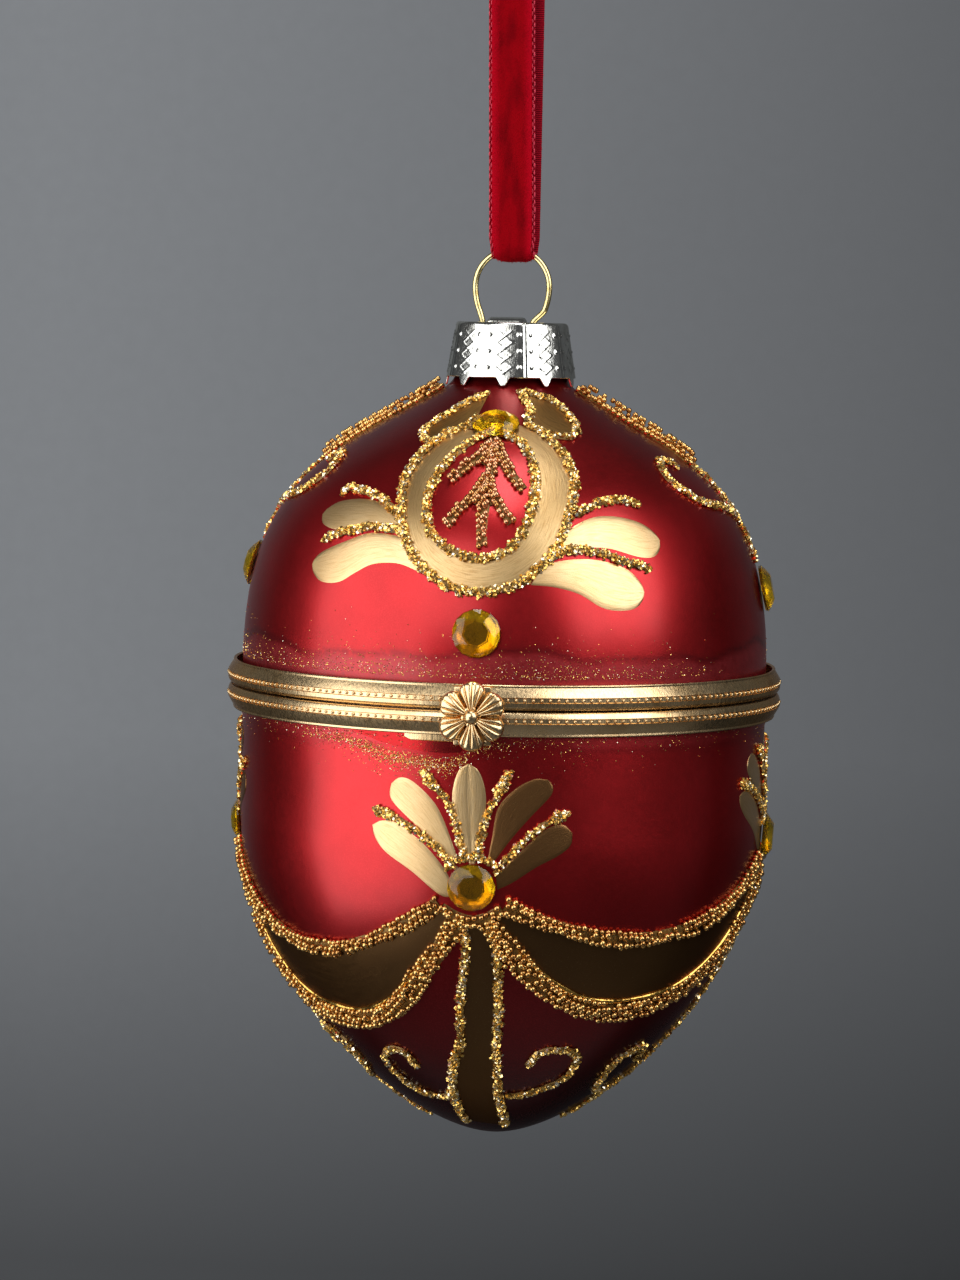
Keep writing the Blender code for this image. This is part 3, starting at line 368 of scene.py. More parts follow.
def velvetMaterial(name, woven):
    material, tree, shader = newMaterial(name)
    spot = place(tree)
    streaks = noise(tree, place(tree, (1, 1, 0.3)), 0.55, 2)
    tufts = noise(tree, spot, 7, 2, 0.7)
    if woven:
        weave = addNode(tree, "ShaderNodeTexWave", {"Vector": spot, "Scale": 1.1}, bands_direction="Z")
        height = weave.outputs["Fac"]
        color = mixColor(tree, height, ribbon["back"], scaled(ribbon["back"], 0.4))
    else:
        color = ramp(tree, streaks, ((0.32, ribbon["pileDark"]), (0.55, ribbon["pile"])))
        color = mixColor(tree, span(tree, tufts, 0.35, 0.75, 0, 0.14), color, ribbon["pileSheenTone"])
        # Painted sheen: the pile turns lighter towards both edges of the ribbon, where it would catch the
        # light.
        edge = calc(tree, "ADD", attribute(tree, "edge"), span(tree, tufts, 0.3, 0.7, -0.1, 0.1))
        color = mixColor(tree, span(tree, edge, 0.5, 0.95, 0, 0.9), color, ribbon["pileSheenTone"])
        height = tufts
    plug(tree, shader, color=color, rough=span(tree, tufts, 0.3, 0.7, 0.8, 1.0))
    setFixed(shader, {"Sheen Weight": 0.06, "Sheen Roughness": 0.35, "Sheen Tint": (1, 0.03, 0.08, 1)})
    setFixed(shader, {"Specular IOR Level": 0.04})
    bump(tree, shader, height, 0.12, 0.6)
    return material


def selvageMaterial():
    material, tree, shader = newMaterial("selvageThread")
    strands = noise(tree, place(tree, (3, 3, 1)), 3, 2)
    # Painted sheen: the thread's bright pink stands in for the light that the selvage chain catches.
    color = ramp(tree, strands, ((0.25, scaled(ribbon["selvage"], 0.6)), (0.6, ribbon["selvage"])))
    plug(tree, shader, color=color, rough=0.55)
    setFixed(shader, {"Sheen Weight": 0.15})
    bump(tree, shader, strands, 0.05)
    return material


velvet = velvetMaterial("velvetPile", False)
velvetBack = velvetMaterial("velvetBack", True)
selvage = selvageMaterial()


def strandX(height, rear):
    lean = math.tan(math.radians(ribbon["lean"])) * (height - ribbon["ringTop"])
    rise = (height - ribbon["foldHeight"]) / (ribbon["hang"] - ribbon["foldHeight"])
    share = ribbon["foldShare"]
    return lean + (ribbon["stagger"] * (share + (1 - share) * rise) if rear else 0)


def ribbonRoute():
    # (place, direction, how near the fold) down the front strand, round the wire and up the rear one.
    fold, radius = ribbon["foldHeight"], ribbon["foldRadius"]
    heights = np.linspace(fold, ribbon["top"], 70)[1:]
    strands = []
    for rear, sign in ((False, -1), (True, 1)):
        nears = np.maximum(0, 1 - (heights - fold) / ribbon["gather"])
        spots = [(strandX(z, rear), sign * radius, z) for z in heights]
        strands.append([(spot, (0, 0, sign), near) for spot, near in zip(spots, nears)])
    loop = []
    for turn in np.linspace(0, math.pi, 25):
        x = strandX(fold, False)
        x += (strandX(fold, True) - x) * turn / math.pi
        spot = (x, -radius * math.cos(turn), fold - radius * math.sin(turn))
        loop.append((spot, (0, math.sin(turn), -math.cos(turn)), 1))
    return strands[0][::-1] + loop + strands[1]


def ribbonWidth(near):
    ease = near * near * (3 - 2 * near)
    return ribbon["width"] + (ribbon["foldWidth"] - ribbon["width"]) * ease


def ribbonSide(spot, along, near, u, depth):
    # A point of the ribbon's section: u goes from -1 to 1 across, depth from the pile to the back.
    face = np.cross(along, (1, 0, 0))
    sink = ribbon["cup"] * near * max(0, 1 - abs(along[2])) * u**6
    wave = 0.03 * near * math.sin(u * 7) * (1 - abs(along[2]) ** 4)
    return np.array(spot) + (u * ribbonWidth(near) / 2, 0, 0) - face * (depth + wave) + (0, 0, sink)


def makeRibbon():
    route = ribbonRoute()
    half, pileEnd = ribbon["thickness"] / 2, 1 - ribbon["edge"] / 3.2
    pileTop = [(u * 0.995, -half * (1 - abs(u) ** 8 * 0.45)) for u in np.linspace(-pileEnd, pileEnd, 15)]
    pileSection = [(-pileEnd, -0.05)] + pileTop + [(pileEnd, -0.05)]
    backSection = [(1, 0.0), (1, half * 0.55)] + [(u, half) for u in np.linspace(0.93, -0.93, 9)]
    backSection += [(-1, half * 0.55), (-1, 0.0)]
    section = pileSection + backSection
    rows = [[ribbonSide(s, a, near, u, d) for u, d in section] for s, a, near in route]
    # Painted sheen mask: how near each pile point lies to the ribbon's edge, which lightens the pile there.
    edges = np.tile([abs(u) if d < 0 else 0 for u, d in section], len(rows))
    faces = prismFaces(len(rows), len(section))
    obj = outward(makeMesh("ribbonStrip", rows, faces, velvet, values={"edge": edges}))
    obj.data.materials.append(velvetBack)
    for face in obj.data.polygons:
        columns = [v % len(section) for v in face.vertices]
        face.material_index = 1 if min(columns) >= len(pileSection) - 1 else 0
    return sharpen(obj, 50), route


def makeSelvage(route):
    # A chain of small thread loops along both edges.
    spots = []
    for u in (-0.92, 0.92):
        edge = np.array([ribbonSide(s, a, near, u, -0.05) for s, a, near in route])
        run = runOf(edge)
        marks = np.arange(0.3, run[-1], ribbon["loopPitch"])
        spots.append(sampled(edge, marks, run))
        spots[-1][:, 0] += ribbon["loopSway"] * (-1.0) ** np.arange(len(marks))
    spots = np.vstack(spots)
    spots += rng.normal(0, 0.03, spots.shape)
    sizes = np.array(ribbon["loopSize"]) * rng.uniform(0.85, 1.2, (len(spots), 3))
    return scatter("ribbonSelvage", ball, spots, sizes, selvage, tumble=False)


def makePile(route):
    # Short loose fibres that stand off the pile and blur its outline.
    count = ribbon["hairs"]
    picks = rng.integers(0, len(route), count)
    atEdge = rng.random(count) < ribbon["edgeHairs"]
    edgeU = rng.choice((-1, 1), count) * rng.uniform(0.84, 0.93, count)
    u = np.where(atEdge, edgeU, rng.uniform(-0.9, 0.9, count))
    points = []
    for k, side in zip(picks, u):
        spot, along, near = route[k]
        face = np.cross(along, (1, 0, 0))
        root = ribbonSide(spot, along, near, side, -ribbon["thickness"] * 0.42)
        root = root + np.array(along) * rng.uniform(-0.3, 0.3)
        lean = face * rng.uniform(0.5, 1) + np.array((side * 1.3, 0, 0)) + rng.normal(0, 0.35, 3)
        if abs(side) < 0.84:
            lean = face + rng.normal(0, 0.45, 3)
        tip = root + lean / np.linalg.norm(lean) * ribbon["hairLength"] * rng.uniform(0.35, 1)
        across = np.cross(lean, along)
        across = across / (np.linalg.norm(across) + 0.001) * ribbon["hairWidth"] / 2
        points += [root - across, root + across, tip]
    faces = np.arange(count * 3).reshape(-1, 3)
    # The fibres share the painted edge sheen of the pile.
    return makeMesh("ribbonPile", points, faces, velvet, smooth=False, values={"edge": np.repeat(abs(u), 3)})


ribbonStrip, ribbonPath = makeRibbon()
settle(ribbonStrip, "ribbon", "velvet", "ribbon")
settle(makeSelvage(ribbonPath), "ribbon", "velvet")
settle(makePile(ribbonPath), "ribbon", "velvet")
print("ribbon made")


# Knot and tails of the ribbon, above the picture

knot = {
    "foot": 100.05, "height": 6.2, "core": (3.3, 2.2, 2.4), "reach": (3.95, 2.75), "strap": 4.6, "tail": 11.9,
    "curl": 3.0, "spread": 16, "sunk": 0.9,
}


def strap(name, path, across, width, thickness, bow=0.25):
    # A flat length of velvet. Each place has its own direction across the ribbon.
    path = np.asarray(path, float)
    across = np.asarray(across, float)
    along = np.gradient(path, axis=0)
    face = unit(np.cross(across, along))
    across = unit(np.cross(along, face))
    width = np.broadcast_to(width, len(path))
    us = np.linspace(-1, 1, 11)
    section = [(u, 1) for u in us] + [(u, -1) for u in us[::-1]]
    rows = []
    for spot, side, out, wide in zip(path, across, face, width):
        row = []
        for u, level in section:
            lift = thickness / 2 * level * (1 - 0.35 * abs(u) ** 6)
            lift += bow * (1 - u * u) + 0.12 * math.sin(u * 9)
            row.append(spot + side * u * wide / 2 + out * lift)
        rows.append(row)
    return sharpen(outward(makeMesh(name, rows, prismFaces(len(rows), len(section)), velvet)), 55)


def makeKnot():
    x = strandX(ribbon["hang"], False) + ribbon["stagger"] / 2
    middle = np.array((x, 0, knot["foot"] + knot["height"] / 2))
    core = scatter("knotCore", ball, np.array([middle]), np.array([knot["core"]]), velvet)
    pieces = [core]
    turns = np.linspace(0, math.tau, 49)
    for name, tilt, rise, grow in (("knotWrap", 14, 0.35, 1.0), ("knotCross", -38, -0.2, 0.86)):
        slope = math.tan(math.radians(tilt))
        path, across = [], []
        for turn in turns:
            wide, deep = knot["reach"]
            reach = np.array((wide * math.sin(turn), -deep * math.cos(turn), 0)) * grow
            path.append(middle + reach + (0, 0, rise + reach[0] * slope * 0.5))
            across.append((-slope * 0.6, 0, 1))
        pieces.append(strap(name, path, across, knot["strap"] * grow, 0.7))
    for name, side in (("tailFront", -1), ("tailRear", 1)):
        start = middle + (side * 0.54, side * 0.8, knot["height"] / 2 - knot["sunk"])
        path, across = [], []
        for step in np.linspace(0, 1, 25):
            bend = math.radians(knot["spread"]) * step
            reach = knot["tail"] * step
            sway = (side * reach * math.sin(bend), side * knot["curl"] * step**2, reach * math.cos(bend))
            path.append(start + sway)
            across.append((math.cos(2 * bend), 0, -side * math.sin(2 * bend)))
        width = ribbon["width"] * np.interp(np.linspace(0, 1, 25), (0, 0.25, 1), (0.7, 0.97, 1))
        pieces.append(strap(name, path, across, width, 0.9, 0.1))
    return pieces


knotCore, knotWrap, knotCross, tailFront, tailRear = makeKnot()
settle(knotCore, "ribbon", "velvet", "ribbon_knot")
settle(knotWrap, "ribbon", "velvet", "ribbon_knot")
settle(knotCross, "ribbon", "velvet", "ribbon_knot")
settle(tailFront, "ribbon", "velvet", "ribbon_tail_front")
settle(tailRear, "ribbon", "velvet", "ribbon_tail_rear")
print("knot and tails made")


# Glass

glass = {
    "radius": 36.1, "wall": 1.0, "edge": 1.0, "belt": 3.4, "sidePull": 24.5, "topPull": 12.2, "topRise": 7.2,
    "shoulder": 11.8, "shoulderHeight": 39.3, "neck": 7.0, "neckLength": 10.0, "neckStraight": 3.0,
    "neckFlare": 0.28, "bowlBelt": 17.5, "bowlPull": 24.5, "tipPull": 11.4, "depth": 62.4,
    "red": (0.52, 0.013, 0.017), "deep": (0.37, 0.007, 0.009), "haze": (0.33, 0.075, 0.085),
    "bare": (0.42, 0.0, 0.002), "tide": (0.13, 0.008, 0.012), "dark": (0.045, 0.002, 0.0025),
    "silver": (0.86, 0.84, 0.83), "rim": (0.12, 0.02, 0.025), "hazeTop": 6.9, "hazeFoot": -5.2,
}


def bezier(start, pullA, pullB, end, steps):
    t = np.linspace(0, 1, steps + 1)[:, None]
    a, b, c, d = (np.array(p, float) for p in (start, pullA, pullB, end))
    return (1 - t) ** 3 * a + 3 * (1 - t) ** 2 * t * b + 3 * (1 - t) * t**2 * c + t**3 * d


def domeLine(steps):
    g = glass
    x, z, flare = g["shoulder"], g["shoulderHeight"], g["neckFlare"]
    rim = z + g["neckLength"]
    neck = bezier(
        (g["neck"], rim - g["neckStraight"]), (g["neck"], z + (g["neckLength"] - g["neckStraight"]) / 3),
        (x - flare * g["topPull"], z + flare * g["topRise"]), (x, z), steps // 3,
    )
    dome = bezier(
        (x, z), (x + g["topPull"], z - g["topRise"]), (g["radius"], g["belt"] + g["sidePull"]),
        (g["radius"], g["belt"]), steps,
    )
    return np.vstack(([(g["neck"], rim)], neck, dome[1:]))


def bowlLine(steps):
    g = glass
    return bezier(
        (g["radius"], -g["bowlBelt"]), (g["radius"], -g["bowlBelt"] - g["bowlPull"]),
        (g["tipPull"], -g["depth"]), (0, -g["depth"]), steps,
    )


glassLine = np.vstack((domeLine(160), bowlLine(160)))[::-1]
glassRun = runOf(glassLine)
glassSlope = unit(np.gradient(glassLine, glassRun, axis=0))


def runAt(height):
    return np.interp(height, glassLine[:, 1], glassRun)


def onGlass(angle, run, lift=0.0):
    # Points over the glass and the outward directions there. Angles are in radians here.
    angle, run, lift = np.broadcast_arrays(angle, run, lift)
    out = np.stack((np.sin(angle), -np.cos(angle), 0 * angle), axis=-1)
    slope = [np.interp(run, glassRun, glassSlope[:, k]) for k in (0, 1)]
    normal = out * slope[1][..., None] - np.array((0, 0, 1)) * slope[0][..., None]
    points = out * np.interp(run, glassRun, glassLine[:, 0])[..., None]
    points[..., 2] = np.interp(run, glassRun, glassLine[:, 1])
    return points + normal * lift[..., None], normal


def lacquerMaterial():
    material, tree, shader = newMaterial("crimsonLacquer")
    spot = place(tree)
    cloud = noise(tree, spot, 0.07, 3)
    grain = noise(tree, spot, 6, 2, 0.6)
    fine = noise(tree, spot, 1.4, 4, 0.65)
    color = mixColor(tree, span(tree, cloud, 0.35, 0.65), glass["deep"], glass["red"])
    height = addNode(tree, "ShaderNodeSeparateXYZ", {"Vector": spot}).outputs["Z"]
    # Painted shade: the lacquer darkens towards the tip and, less, towards the neck.
    color = mixColor(tree, span(tree, height, -20, -52, 0, 0.9), color, glass["dark"])  # deeper at both ends
    color = mixColor(tree, span(tree, height, 26, 38, 0, 0.35), color, glass["dark"])
    sparkle = tuple(min(1, c * 1.5 + 0.03) for c in glass["red"])
    color = mixColor(tree, span(tree, grain, 0.45, 0.8, 0, 0.22), color, sparkle)
    haze = calc(tree, "MULTIPLY", attribute(tree, "haze"), span(tree, fine, 0.25, 0.6, 0.55, 1))
    color = mixColor(tree, calc(tree, "MULTIPLY", haze, 0.4), color, glass["haze"])
    patch = calc(tree, "ADD", attribute(tree, "bare"), calc(tree, "MULTIPLY", fine, 0.12))
    bare = span(tree, patch, 0.5, 0.6)
    color = mixColor(tree, bare, color, glass["bare"])
    edge = calc(tree, "MULTIPLY", attribute(tree, "tide"), span(tree, fine, 0.3, 0.55, 0.2, 0.8))
    color = mixColor(tree, edge, color, glass["tide"])
    satin = span(tree, fine, 0.3, 0.7, 0.3, 0.36)
    satin = calc(tree, "ADD", satin, calc(tree, "MULTIPLY", haze, 0.12))
    rough = addNode(tree, "ShaderNodeMix", {0: bare, 2: satin, 3: 0.2}).outputs[0]
    plug(tree, shader, color=color, rough=rough, metal=0.94)
    setFixed(shader, {"Specular Tint": (*glass["rim"], 1), "Coat Weight": 0.5, "Coat Roughness": 0.24})
    bump(tree, shader, calc(tree, "ADD", grain, calc(tree, "MULTIPLY", fine, 1.5)), 0.012, 0.5)
    return material


lacquer = lacquerMaterial()
silverStops = ((0.3, scaled(glass["silver"], 0.72)), (0.6, glass["silver"]))
silver = grainMaterial("silveredInside", (0.35, 4, 0.6), silverStops, (0.24, 0.1), 1.0, 0.05, 0.4)


def inset(line, distance):
    line = np.asarray(line, float)
    run = unit(np.gradient(line, axis=0))
    moved = line + distance * np.column_stack((run[:, 1], -run[:, 0]))
    moved[:, 0] = np.maximum(moved[:, 0], 0.02)
    return moved


bareEdge = {
    "angles": (-33, -29, -18.3, -9.4, -6, -3.3, -1.7, -0.6),
    "lows": (-2.6, -3.3, -5.15, -5.85, -5.9, -5.7, -5.0, -3.2),
}


def surfaceMarks(obj):
    # Where the glue haze with its darker edge and the bare glossy patch lie, kept on the mesh.
    spots = np.zeros(len(obj.data.vertices) * 3, np.float32)
    obj.data.vertices.foreach_get("co", spots)
    x, y, z = (spots.reshape(-1, 3) / mm).T
    angle = np.degrees(np.arctan2(x, -y))
    turn = np.radians(angle)
    waver = 0.6 * np.sin(turn * 5 + 1) + 0.4 * np.sin(turn * 11) + 0.25 * np.sin(turn * 23 + 2)
    top = glass["hazeTop"] + waver
    foot = glass["hazeFoot"] + 0.5 * waver
    haze = np.clip((top - z) / 0.9, 0, 1) * (z > 0) + np.clip((z - foot) / 0.8, 0, 1) * (z < 0) * 0.5
    tide = np.exp(-(((z - top) / 0.45) ** 2)) * 0.8 + np.exp(-(((z - foot) / 0.4) ** 2)) * 0.4
    low = np.interp(angle, bareEdge["angles"], bareEdge["lows"])
    within = (angle > bareEdge["angles"][0]) & (angle < bareEdge["angles"][-1]) & (z < 0)
    bare = np.where(within, np.clip((z - low) / 0.8 + 0.5, 0, 1), 0)
    for key, value in (("haze", haze), ("tide", tide * (1 - bare)), ("bare", bare)):
        layer = obj.data.attributes.new(key, "FLOAT", "POINT")
        layer.data.foreach_set("value", value.astype(np.float32))


def makeShells():
    g = glass
    radius, wall, edge, neck = g["radius"], g["wall"], g["edge"], g["neck"]
    inside = radius - wall
    edgeUp = np.linspace(g["belt"], edge, 6)[1:]
    upper = np.vstack((domeLine(130), np.column_stack((np.full(5, radius), edgeUp))))
    upper = np.vstack((upper, [(radius - 0.15, edge), (inside, edge)]))
    wallDown = np.linspace(-edge, -g["bowlBelt"], 24)[:-1]
    lower = np.vstack((np.column_stack((np.full(23, radius), wallDown)), bowlLine(120)))
    lower[-1, 0] = 0.02
    lower = np.vstack(([(inside, -edge), (radius - 0.15, -edge)], lower))
    pieces = []
    for name, line in (("upperGlass", upper), ("lowerGlass", lower)):
        obj = turned(name, line, lacquer, 320, 40)
        surfaceMarks(obj)
        pieces.append(obj)
    upperIn = inset(np.vstack((domeLine(60), [(radius, edge)])), wall)
    upperIn[0] = (neck - wall, upperIn[0][1])
    upperIn[-1] = (inside, edge)
    lowerIn = inset(np.vstack(([(radius, -edge)], bowlLine(60))), wall)
    lowerIn[0] = (inside, -edge)
    for name, line in (("upperSilvering", upperIn), ("lowerSilvering", lowerIn)):
        pieces.append(turned(name, line, silver, 128, 60))
    rim = g["shoulderHeight"] + g["neckLength"]
    neckRim = turned("neckRim", [(neck, rim), (neck - 0.3, rim + 0.12), (neck - wall, rim)], lacquer, 96, 60)
    return pieces + [neckRim]


upperGlass, lowerGlass, upperSilvering, lowerSilvering, neckRim = makeShells()
settle(upperGlass, "upper_half", "lacquered_glass", "upper_shell")
settle(lowerGlass, "lower_half", "lacquered_glass", "lower_shell")
settle(upperSilvering, "upper_half", "lacquered_glass")
settle(lowerSilvering, "lower_half", "lacquered_glass")
settle(neckRim, "upper_half", "lacquered_glass")
print("glass made")


# Bands at the seam

band = {
    "skirt": 37.35, "ridge": 38.25, "shoulder": 37.75, "height": 3.2, "upperRidge": 1.3, "lowerRidge": 1.12,
    "sheet": 0.4, "web": 0.5, "inner": 34.4, "innerHeight": 2.5, "lip": 33.6, "lipRise": 1.25, "bead": 0.21,
    "pitch": 1.12, "pale": (0.9, 0.65, 0.35), "tan": (0.72, 0.46, 0.2), "edge": (0.3, 0.15, 0.04),
}


def brassMaterial(name, wear=1.0):
    material, tree, shader = newMaterial(name)
    spot = place(tree)
    broad = noise(tree, spot, 0.16, 3, 0.6)
    chatter = noise(tree, place(tree, (1, 1, 0.07)), 4.5, 2, 0.5)
    pits = noise(tree, spot, 1.6, 3, 0.6)
    color = ramp(tree, broad, ((0.3, band["tan"]), (0.5, band["pale"])))
    color = mixColor(tree, span(tree, chatter, 0.5, 0.75, 0, 0.25 * wear), color, band["tan"])
    rough = span(tree, chatter, 0.3, 0.7, 0.2, 0.28 + 0.06 * wear)
    plug(tree, shader, color=color, rough=rough, metal=1.0)
    setFixed(shader, {"Specular Tint": (*band["edge"], 1), "Coat Weight": 0.5, "Coat Roughness": 0.25})
    bump(tree, shader, calc(tree, "ADD", chatter, calc(tree, "MULTIPLY", pits, 0.8)), 0.03, 0.5 * wear)
    return material


brass = brassMaterial("paleBrass")
brassPlain = brassMaterial("hingeBrass", 0.6)


def makeBands():
    b = band
    face = seamGap / 2
    skirt, crest, shoulder, sheet, inside = b["skirt"], b["ridge"], b["shoulder"], b["sheet"], b["inner"]
    top, web, innerTop = face + b["height"], face + b["web"], face + b["innerHeight"]
    ridge, groove = face + b["upperRidge"], 0.36
    upper = [
        (skirt - 0.05, top), (skirt + 0.04, top - 0.12), (skirt + 0.02, top - 0.34), (skirt + 0.12, top - 0.5),
        (skirt + 0.42, ridge + 0.95), (crest - 0.16, ridge + groove), (crest - 0.3, ridge + 0.26),
        (crest - 0.3, ridge - 0.26), (crest - 0.12, ridge - groove), (crest - 0.2, face + 0.42),
        (shoulder + 0.04, face + 0.08), (shoulder - 0.05, face), (inside - sheet, face),
        (inside - sheet, innerTop), (inside, innerTop), (inside, web), (shoulder - sheet, web),
        (crest - 0.7, ridge), (skirt - sheet, top - 0.1),
    ]
    ridge, lip, lipTop = face + b["lowerRidge"], b["lip"], b["lipRise"] - face
    lower = [
        (skirt - 0.05, -top), (skirt + 0.04, 0.12 - top), (skirt + 0.02, 0.34 - top), (skirt + 0.12, 0.5 - top),
        (crest - 0.36, -ridge - 0.9), (crest - 0.12, -ridge - groove), (crest - 0.3, -ridge - 0.26),
        (crest - 0.3, 0.26 - ridge), (crest - 0.16, groove - ridge), (shoulder + 0.2, -face - 0.32),
        (shoulder + 0.04, -face - 0.08), (shoulder - 0.05, -face), (lip, -face), (lip, lipTop),
        (lip - sheet, lipTop), (lip - sheet, -innerTop), (inside, -innerTop), (inside, -web),
        (shoulder - sheet, -web), (crest - 0.7, -ridge), (skirt - sheet, 0.1 - top),
    ]
    lines = {"upperBand": upper, "lowerBand": lower}
    pieces = [turned(name, line, brass, 288, 24, True) for name, line in lines.items()]
    count = round(math.tau * b["ridge"] / b["pitch"])
    angles = np.linspace(0, math.tau, count, endpoint=False)
    for name, height in (("upperMilling", face + b["upperRidge"]), ("lowerMilling", -face - b["lowerRidge"])):
        radius = b["ridge"] - 0.22
        spots = np.column_stack((radius * around(angles), np.full(count, height)))
        spots += rng.normal(0, 0.012, spots.shape)
        sizes = b["bead"] * rng.uniform(0.92, 1.08, (count, 1))
        pieces.append(scatter(name, ball, spots, np.repeat(sizes, 3, axis=1), brass))
    return pieces


upperBand, lowerBand, upperMilling, lowerMilling = makeBands()
settle(upperBand, "upper_half", "brass", "upper_bezel")
settle(lowerBand, "lower_half", "brass", "lower_bezel")
settle(upperMilling, "upper_half", "brass")
settle(lowerMilling, "lower_half", "brass")
print("bands made")


# Cap

cap = {
    "top": 50.05, "topRadius": 7.88, "footRadius": 9.0, "height": 7.5, "point": 1.15, "panels": 9,
    "turn": 19.3, "rounding": 0.7, "flute": -0.22, "crease": 0.1, "creaseWidth": 0.022, "sheet": 0.3,
    "ridge": 0.085, "ridgeWidth": 0.1, "zigzag": 3.3, "swing": 0.19, "patternTop": 1.15,
    "patternFoot": 0.55, "dot": 0.17, "dotSize": 0.2, "dotRows": (1.7, 3.9, 6.1), "dotReach": 0.36,
    "perPanel": 44, "bridge": (2.78, 1.55, 0.8), "bridgeShift": -0.62, "bright": (0.86, 0.86, 0.81),
    "dull": (0.6, 0.59, 0.53),
}


def tinMaterial():
    material, tree, shader = newMaterial("stampedTin")
    spot = place(tree)
    wear = noise(tree, spot, 0.5, 3, 0.6)
    scratches = noise(tree, place(tree, (1, 1, 0.1)), 7, 2, 0.6)
    color = ramp(tree, wear, ((0.25, cap["dull"]), (0.5, cap["bright"])))
    plug(tree, shader, color=color, rough=span(tree, scratches, 0.35, 0.7, 0.09, 0.22), metal=1.0)
    setFixed(shader, {"Specular Tint": (0.6, 0.6, 0.57, 1)})
    bump(tree, shader, calc(tree, "ADD", scratches, calc(tree, "MULTIPLY", wear, 2)), 0.03, 0.4)
    return material


tin = tinMaterial()


def capStamp(across, height):
    # How far the stamped pattern stands out. across goes from -0.5 to 0.5 of a panel.
    c = cap
    panelWidth = math.tau * c["footRadius"] / c["panels"]
    down = c["top"] - height
    crease = c["crease"] * np.exp(-(((0.5 - abs(across)) / c["creaseWidth"]) ** 2))
    stamp = c["flute"] * np.cos(math.pi * across) - crease
    phase = (down - 1.1) / c["zigzag"]
    swing = c["swing"] * (4 * abs(phase - np.floor(phase) - 0.5) - 1)
    within = (down > c["patternTop"]) & (down < c["height"] - c["patternFoot"])
    for side in (-1, 1):
        gap = abs(across - side * swing) * panelWidth
        stamp = stamp + within * c["ridge"] * np.exp(-((gap / c["ridgeWidth"]) ** 2))
    for row in c["dotRows"]:
        for side in (-c["dotReach"], c["dotReach"]):
            gap = np.hypot((across - side) * panelWidth, down - row)
            stamp = stamp + c["dot"] * np.exp(-((gap / c["dotSize"]) ** 2))
    return stamp


def makeCap():
    c = cap
    count = c["panels"] * c["perPanel"]
    across = np.arange(count) % c["perPanel"] / c["perPanel"]
    across = np.where(across > 0.5, across - 1, across)
    across = -np.where(across >= 0, 0.5 - across, -0.5 - across)
    angles = np.radians(c["turn"]) + np.arange(count) / count * math.tau
    out = around(angles)
    tooth = c["point"] * np.clip((0.15 - abs(across)) / 0.11, 0, 1)
    rows = []
    for share in (0.0, 0.35, 0.6, 0.8, 0.93):
        radius = (c["topRadius"] - c["rounding"]) * share + 0.001
        rows.append(np.column_stack((out * radius, np.full(count, c["top"]))))
    wallTop, wallHeight = c["top"] - c["rounding"], c["height"] - c["rounding"]
    for turn in np.radians(np.linspace(0, 90, 7)[:-1]):
        flute = capStamp(across, wallTop) * math.sin(turn) ** 2
        radius = c["topRadius"] - c["rounding"] * (1 - math.sin(turn)) + flute
        height = c["top"] - c["rounding"] * (1 - math.cos(turn))
        rows.append(np.column_stack((out * radius[:, None], np.full(count, height))))
    for share in np.linspace(0, 1, 56):
        height = wallTop - (wallHeight + tooth) * share
        slope = (wallTop - height) / wallHeight
        radius = c["topRadius"] + (c["footRadius"] - c["topRadius"]) * slope + capStamp(across, height)
        # The points lie on the glass.
        under = np.interp(height, glassLine[:, 1], glassLine[:, 0]) + c["sheet"] + 0.1
        radius = np.maximum(radius, under)
        rows.append(np.column_stack((out * radius[:, None], height)))
    obj = makeMesh("stampedCap", np.array(rows), gridFaces(len(rows), count, False, True)[:, ::-1], tin)
    wall = obj.modifiers.new("sheet", "SOLIDIFY")
    wall.thickness = c["sheet"] * mm
    wall.offset = -1
    return sharpen(obj, 50)


def makeBridge():
    # The strap pressed up from the cap's top, between the two holes of the wire.
    reach, half, rise = cap["bridge"]
    rows = []
    for t in np.linspace(-1, 1, 33):
        wide = half * (1 - 0.5 * max(0, abs(t) - 0.7) ** 1.2)
        lift = rise * (1 - abs(t) ** 14) - 0.1
        ring = [(u * wide, lift - 0.5 * u * u) for u in np.linspace(-1, 1, 9)]
        ring += [(u * wide, lift - 0.8) for u in np.linspace(1, -1, 9)]
        rows.append([(cap["bridgeShift"] + t * reach, y, cap["top"] + z) for y, z in ring])
    return sharpen(outward(makeMesh("capBridge", rows, prismFaces(33, 18), tin)), 40)


settle(makeCap(), "upper_half", "cap_metal", "cap")
settle(makeBridge(), "upper_half", "cap_metal")
print("cap made")


# Wire hanger

wire = {
    "radius": 0.4, "ring": 5.1, "centre": 54.95, "opening": 30, "stretch": 1.35, "spread": 3.38,
    "shift": -0.58, "depth": 8.6, "bore": 5.5, "gold": (0.9, 0.75, 0.36), "shadow": (0.62, 0.44, 0.14),
    "legDrops": (1.0, 0.8, 0.6, 0.42, 0.24, 0.1, 0.0),
    "legSpreads": (0.86, 0.98, 1.0, 0.9, 0.45, 0.05, 0.0),
}


def wireMaterial():
    material, tree, shader = newMaterial("brassedWire")
    lines = noise(tree, placeAlong(tree, (6, 9, 1)), 4, 3, 0.6)
    # Painted shade: random patches of the darker colour stand in for shadows along the wire.
    shadowPatches = noise(tree, place(tree), 0.6, 2)
    color = ramp(tree, shadowPatches, ((0.3, wire["shadow"]), (0.5, wire["gold"])))
    plug(tree, shader, color=color, rough=span(tree, lines, 0.3, 0.7, 0.18, 0.34), metal=1.0)
    setFixed(shader, {"Specular Tint": (0.5, 0.36, 0.14, 1)})
    bump(tree, shader, lines, 0.02, 0.5)
    return material


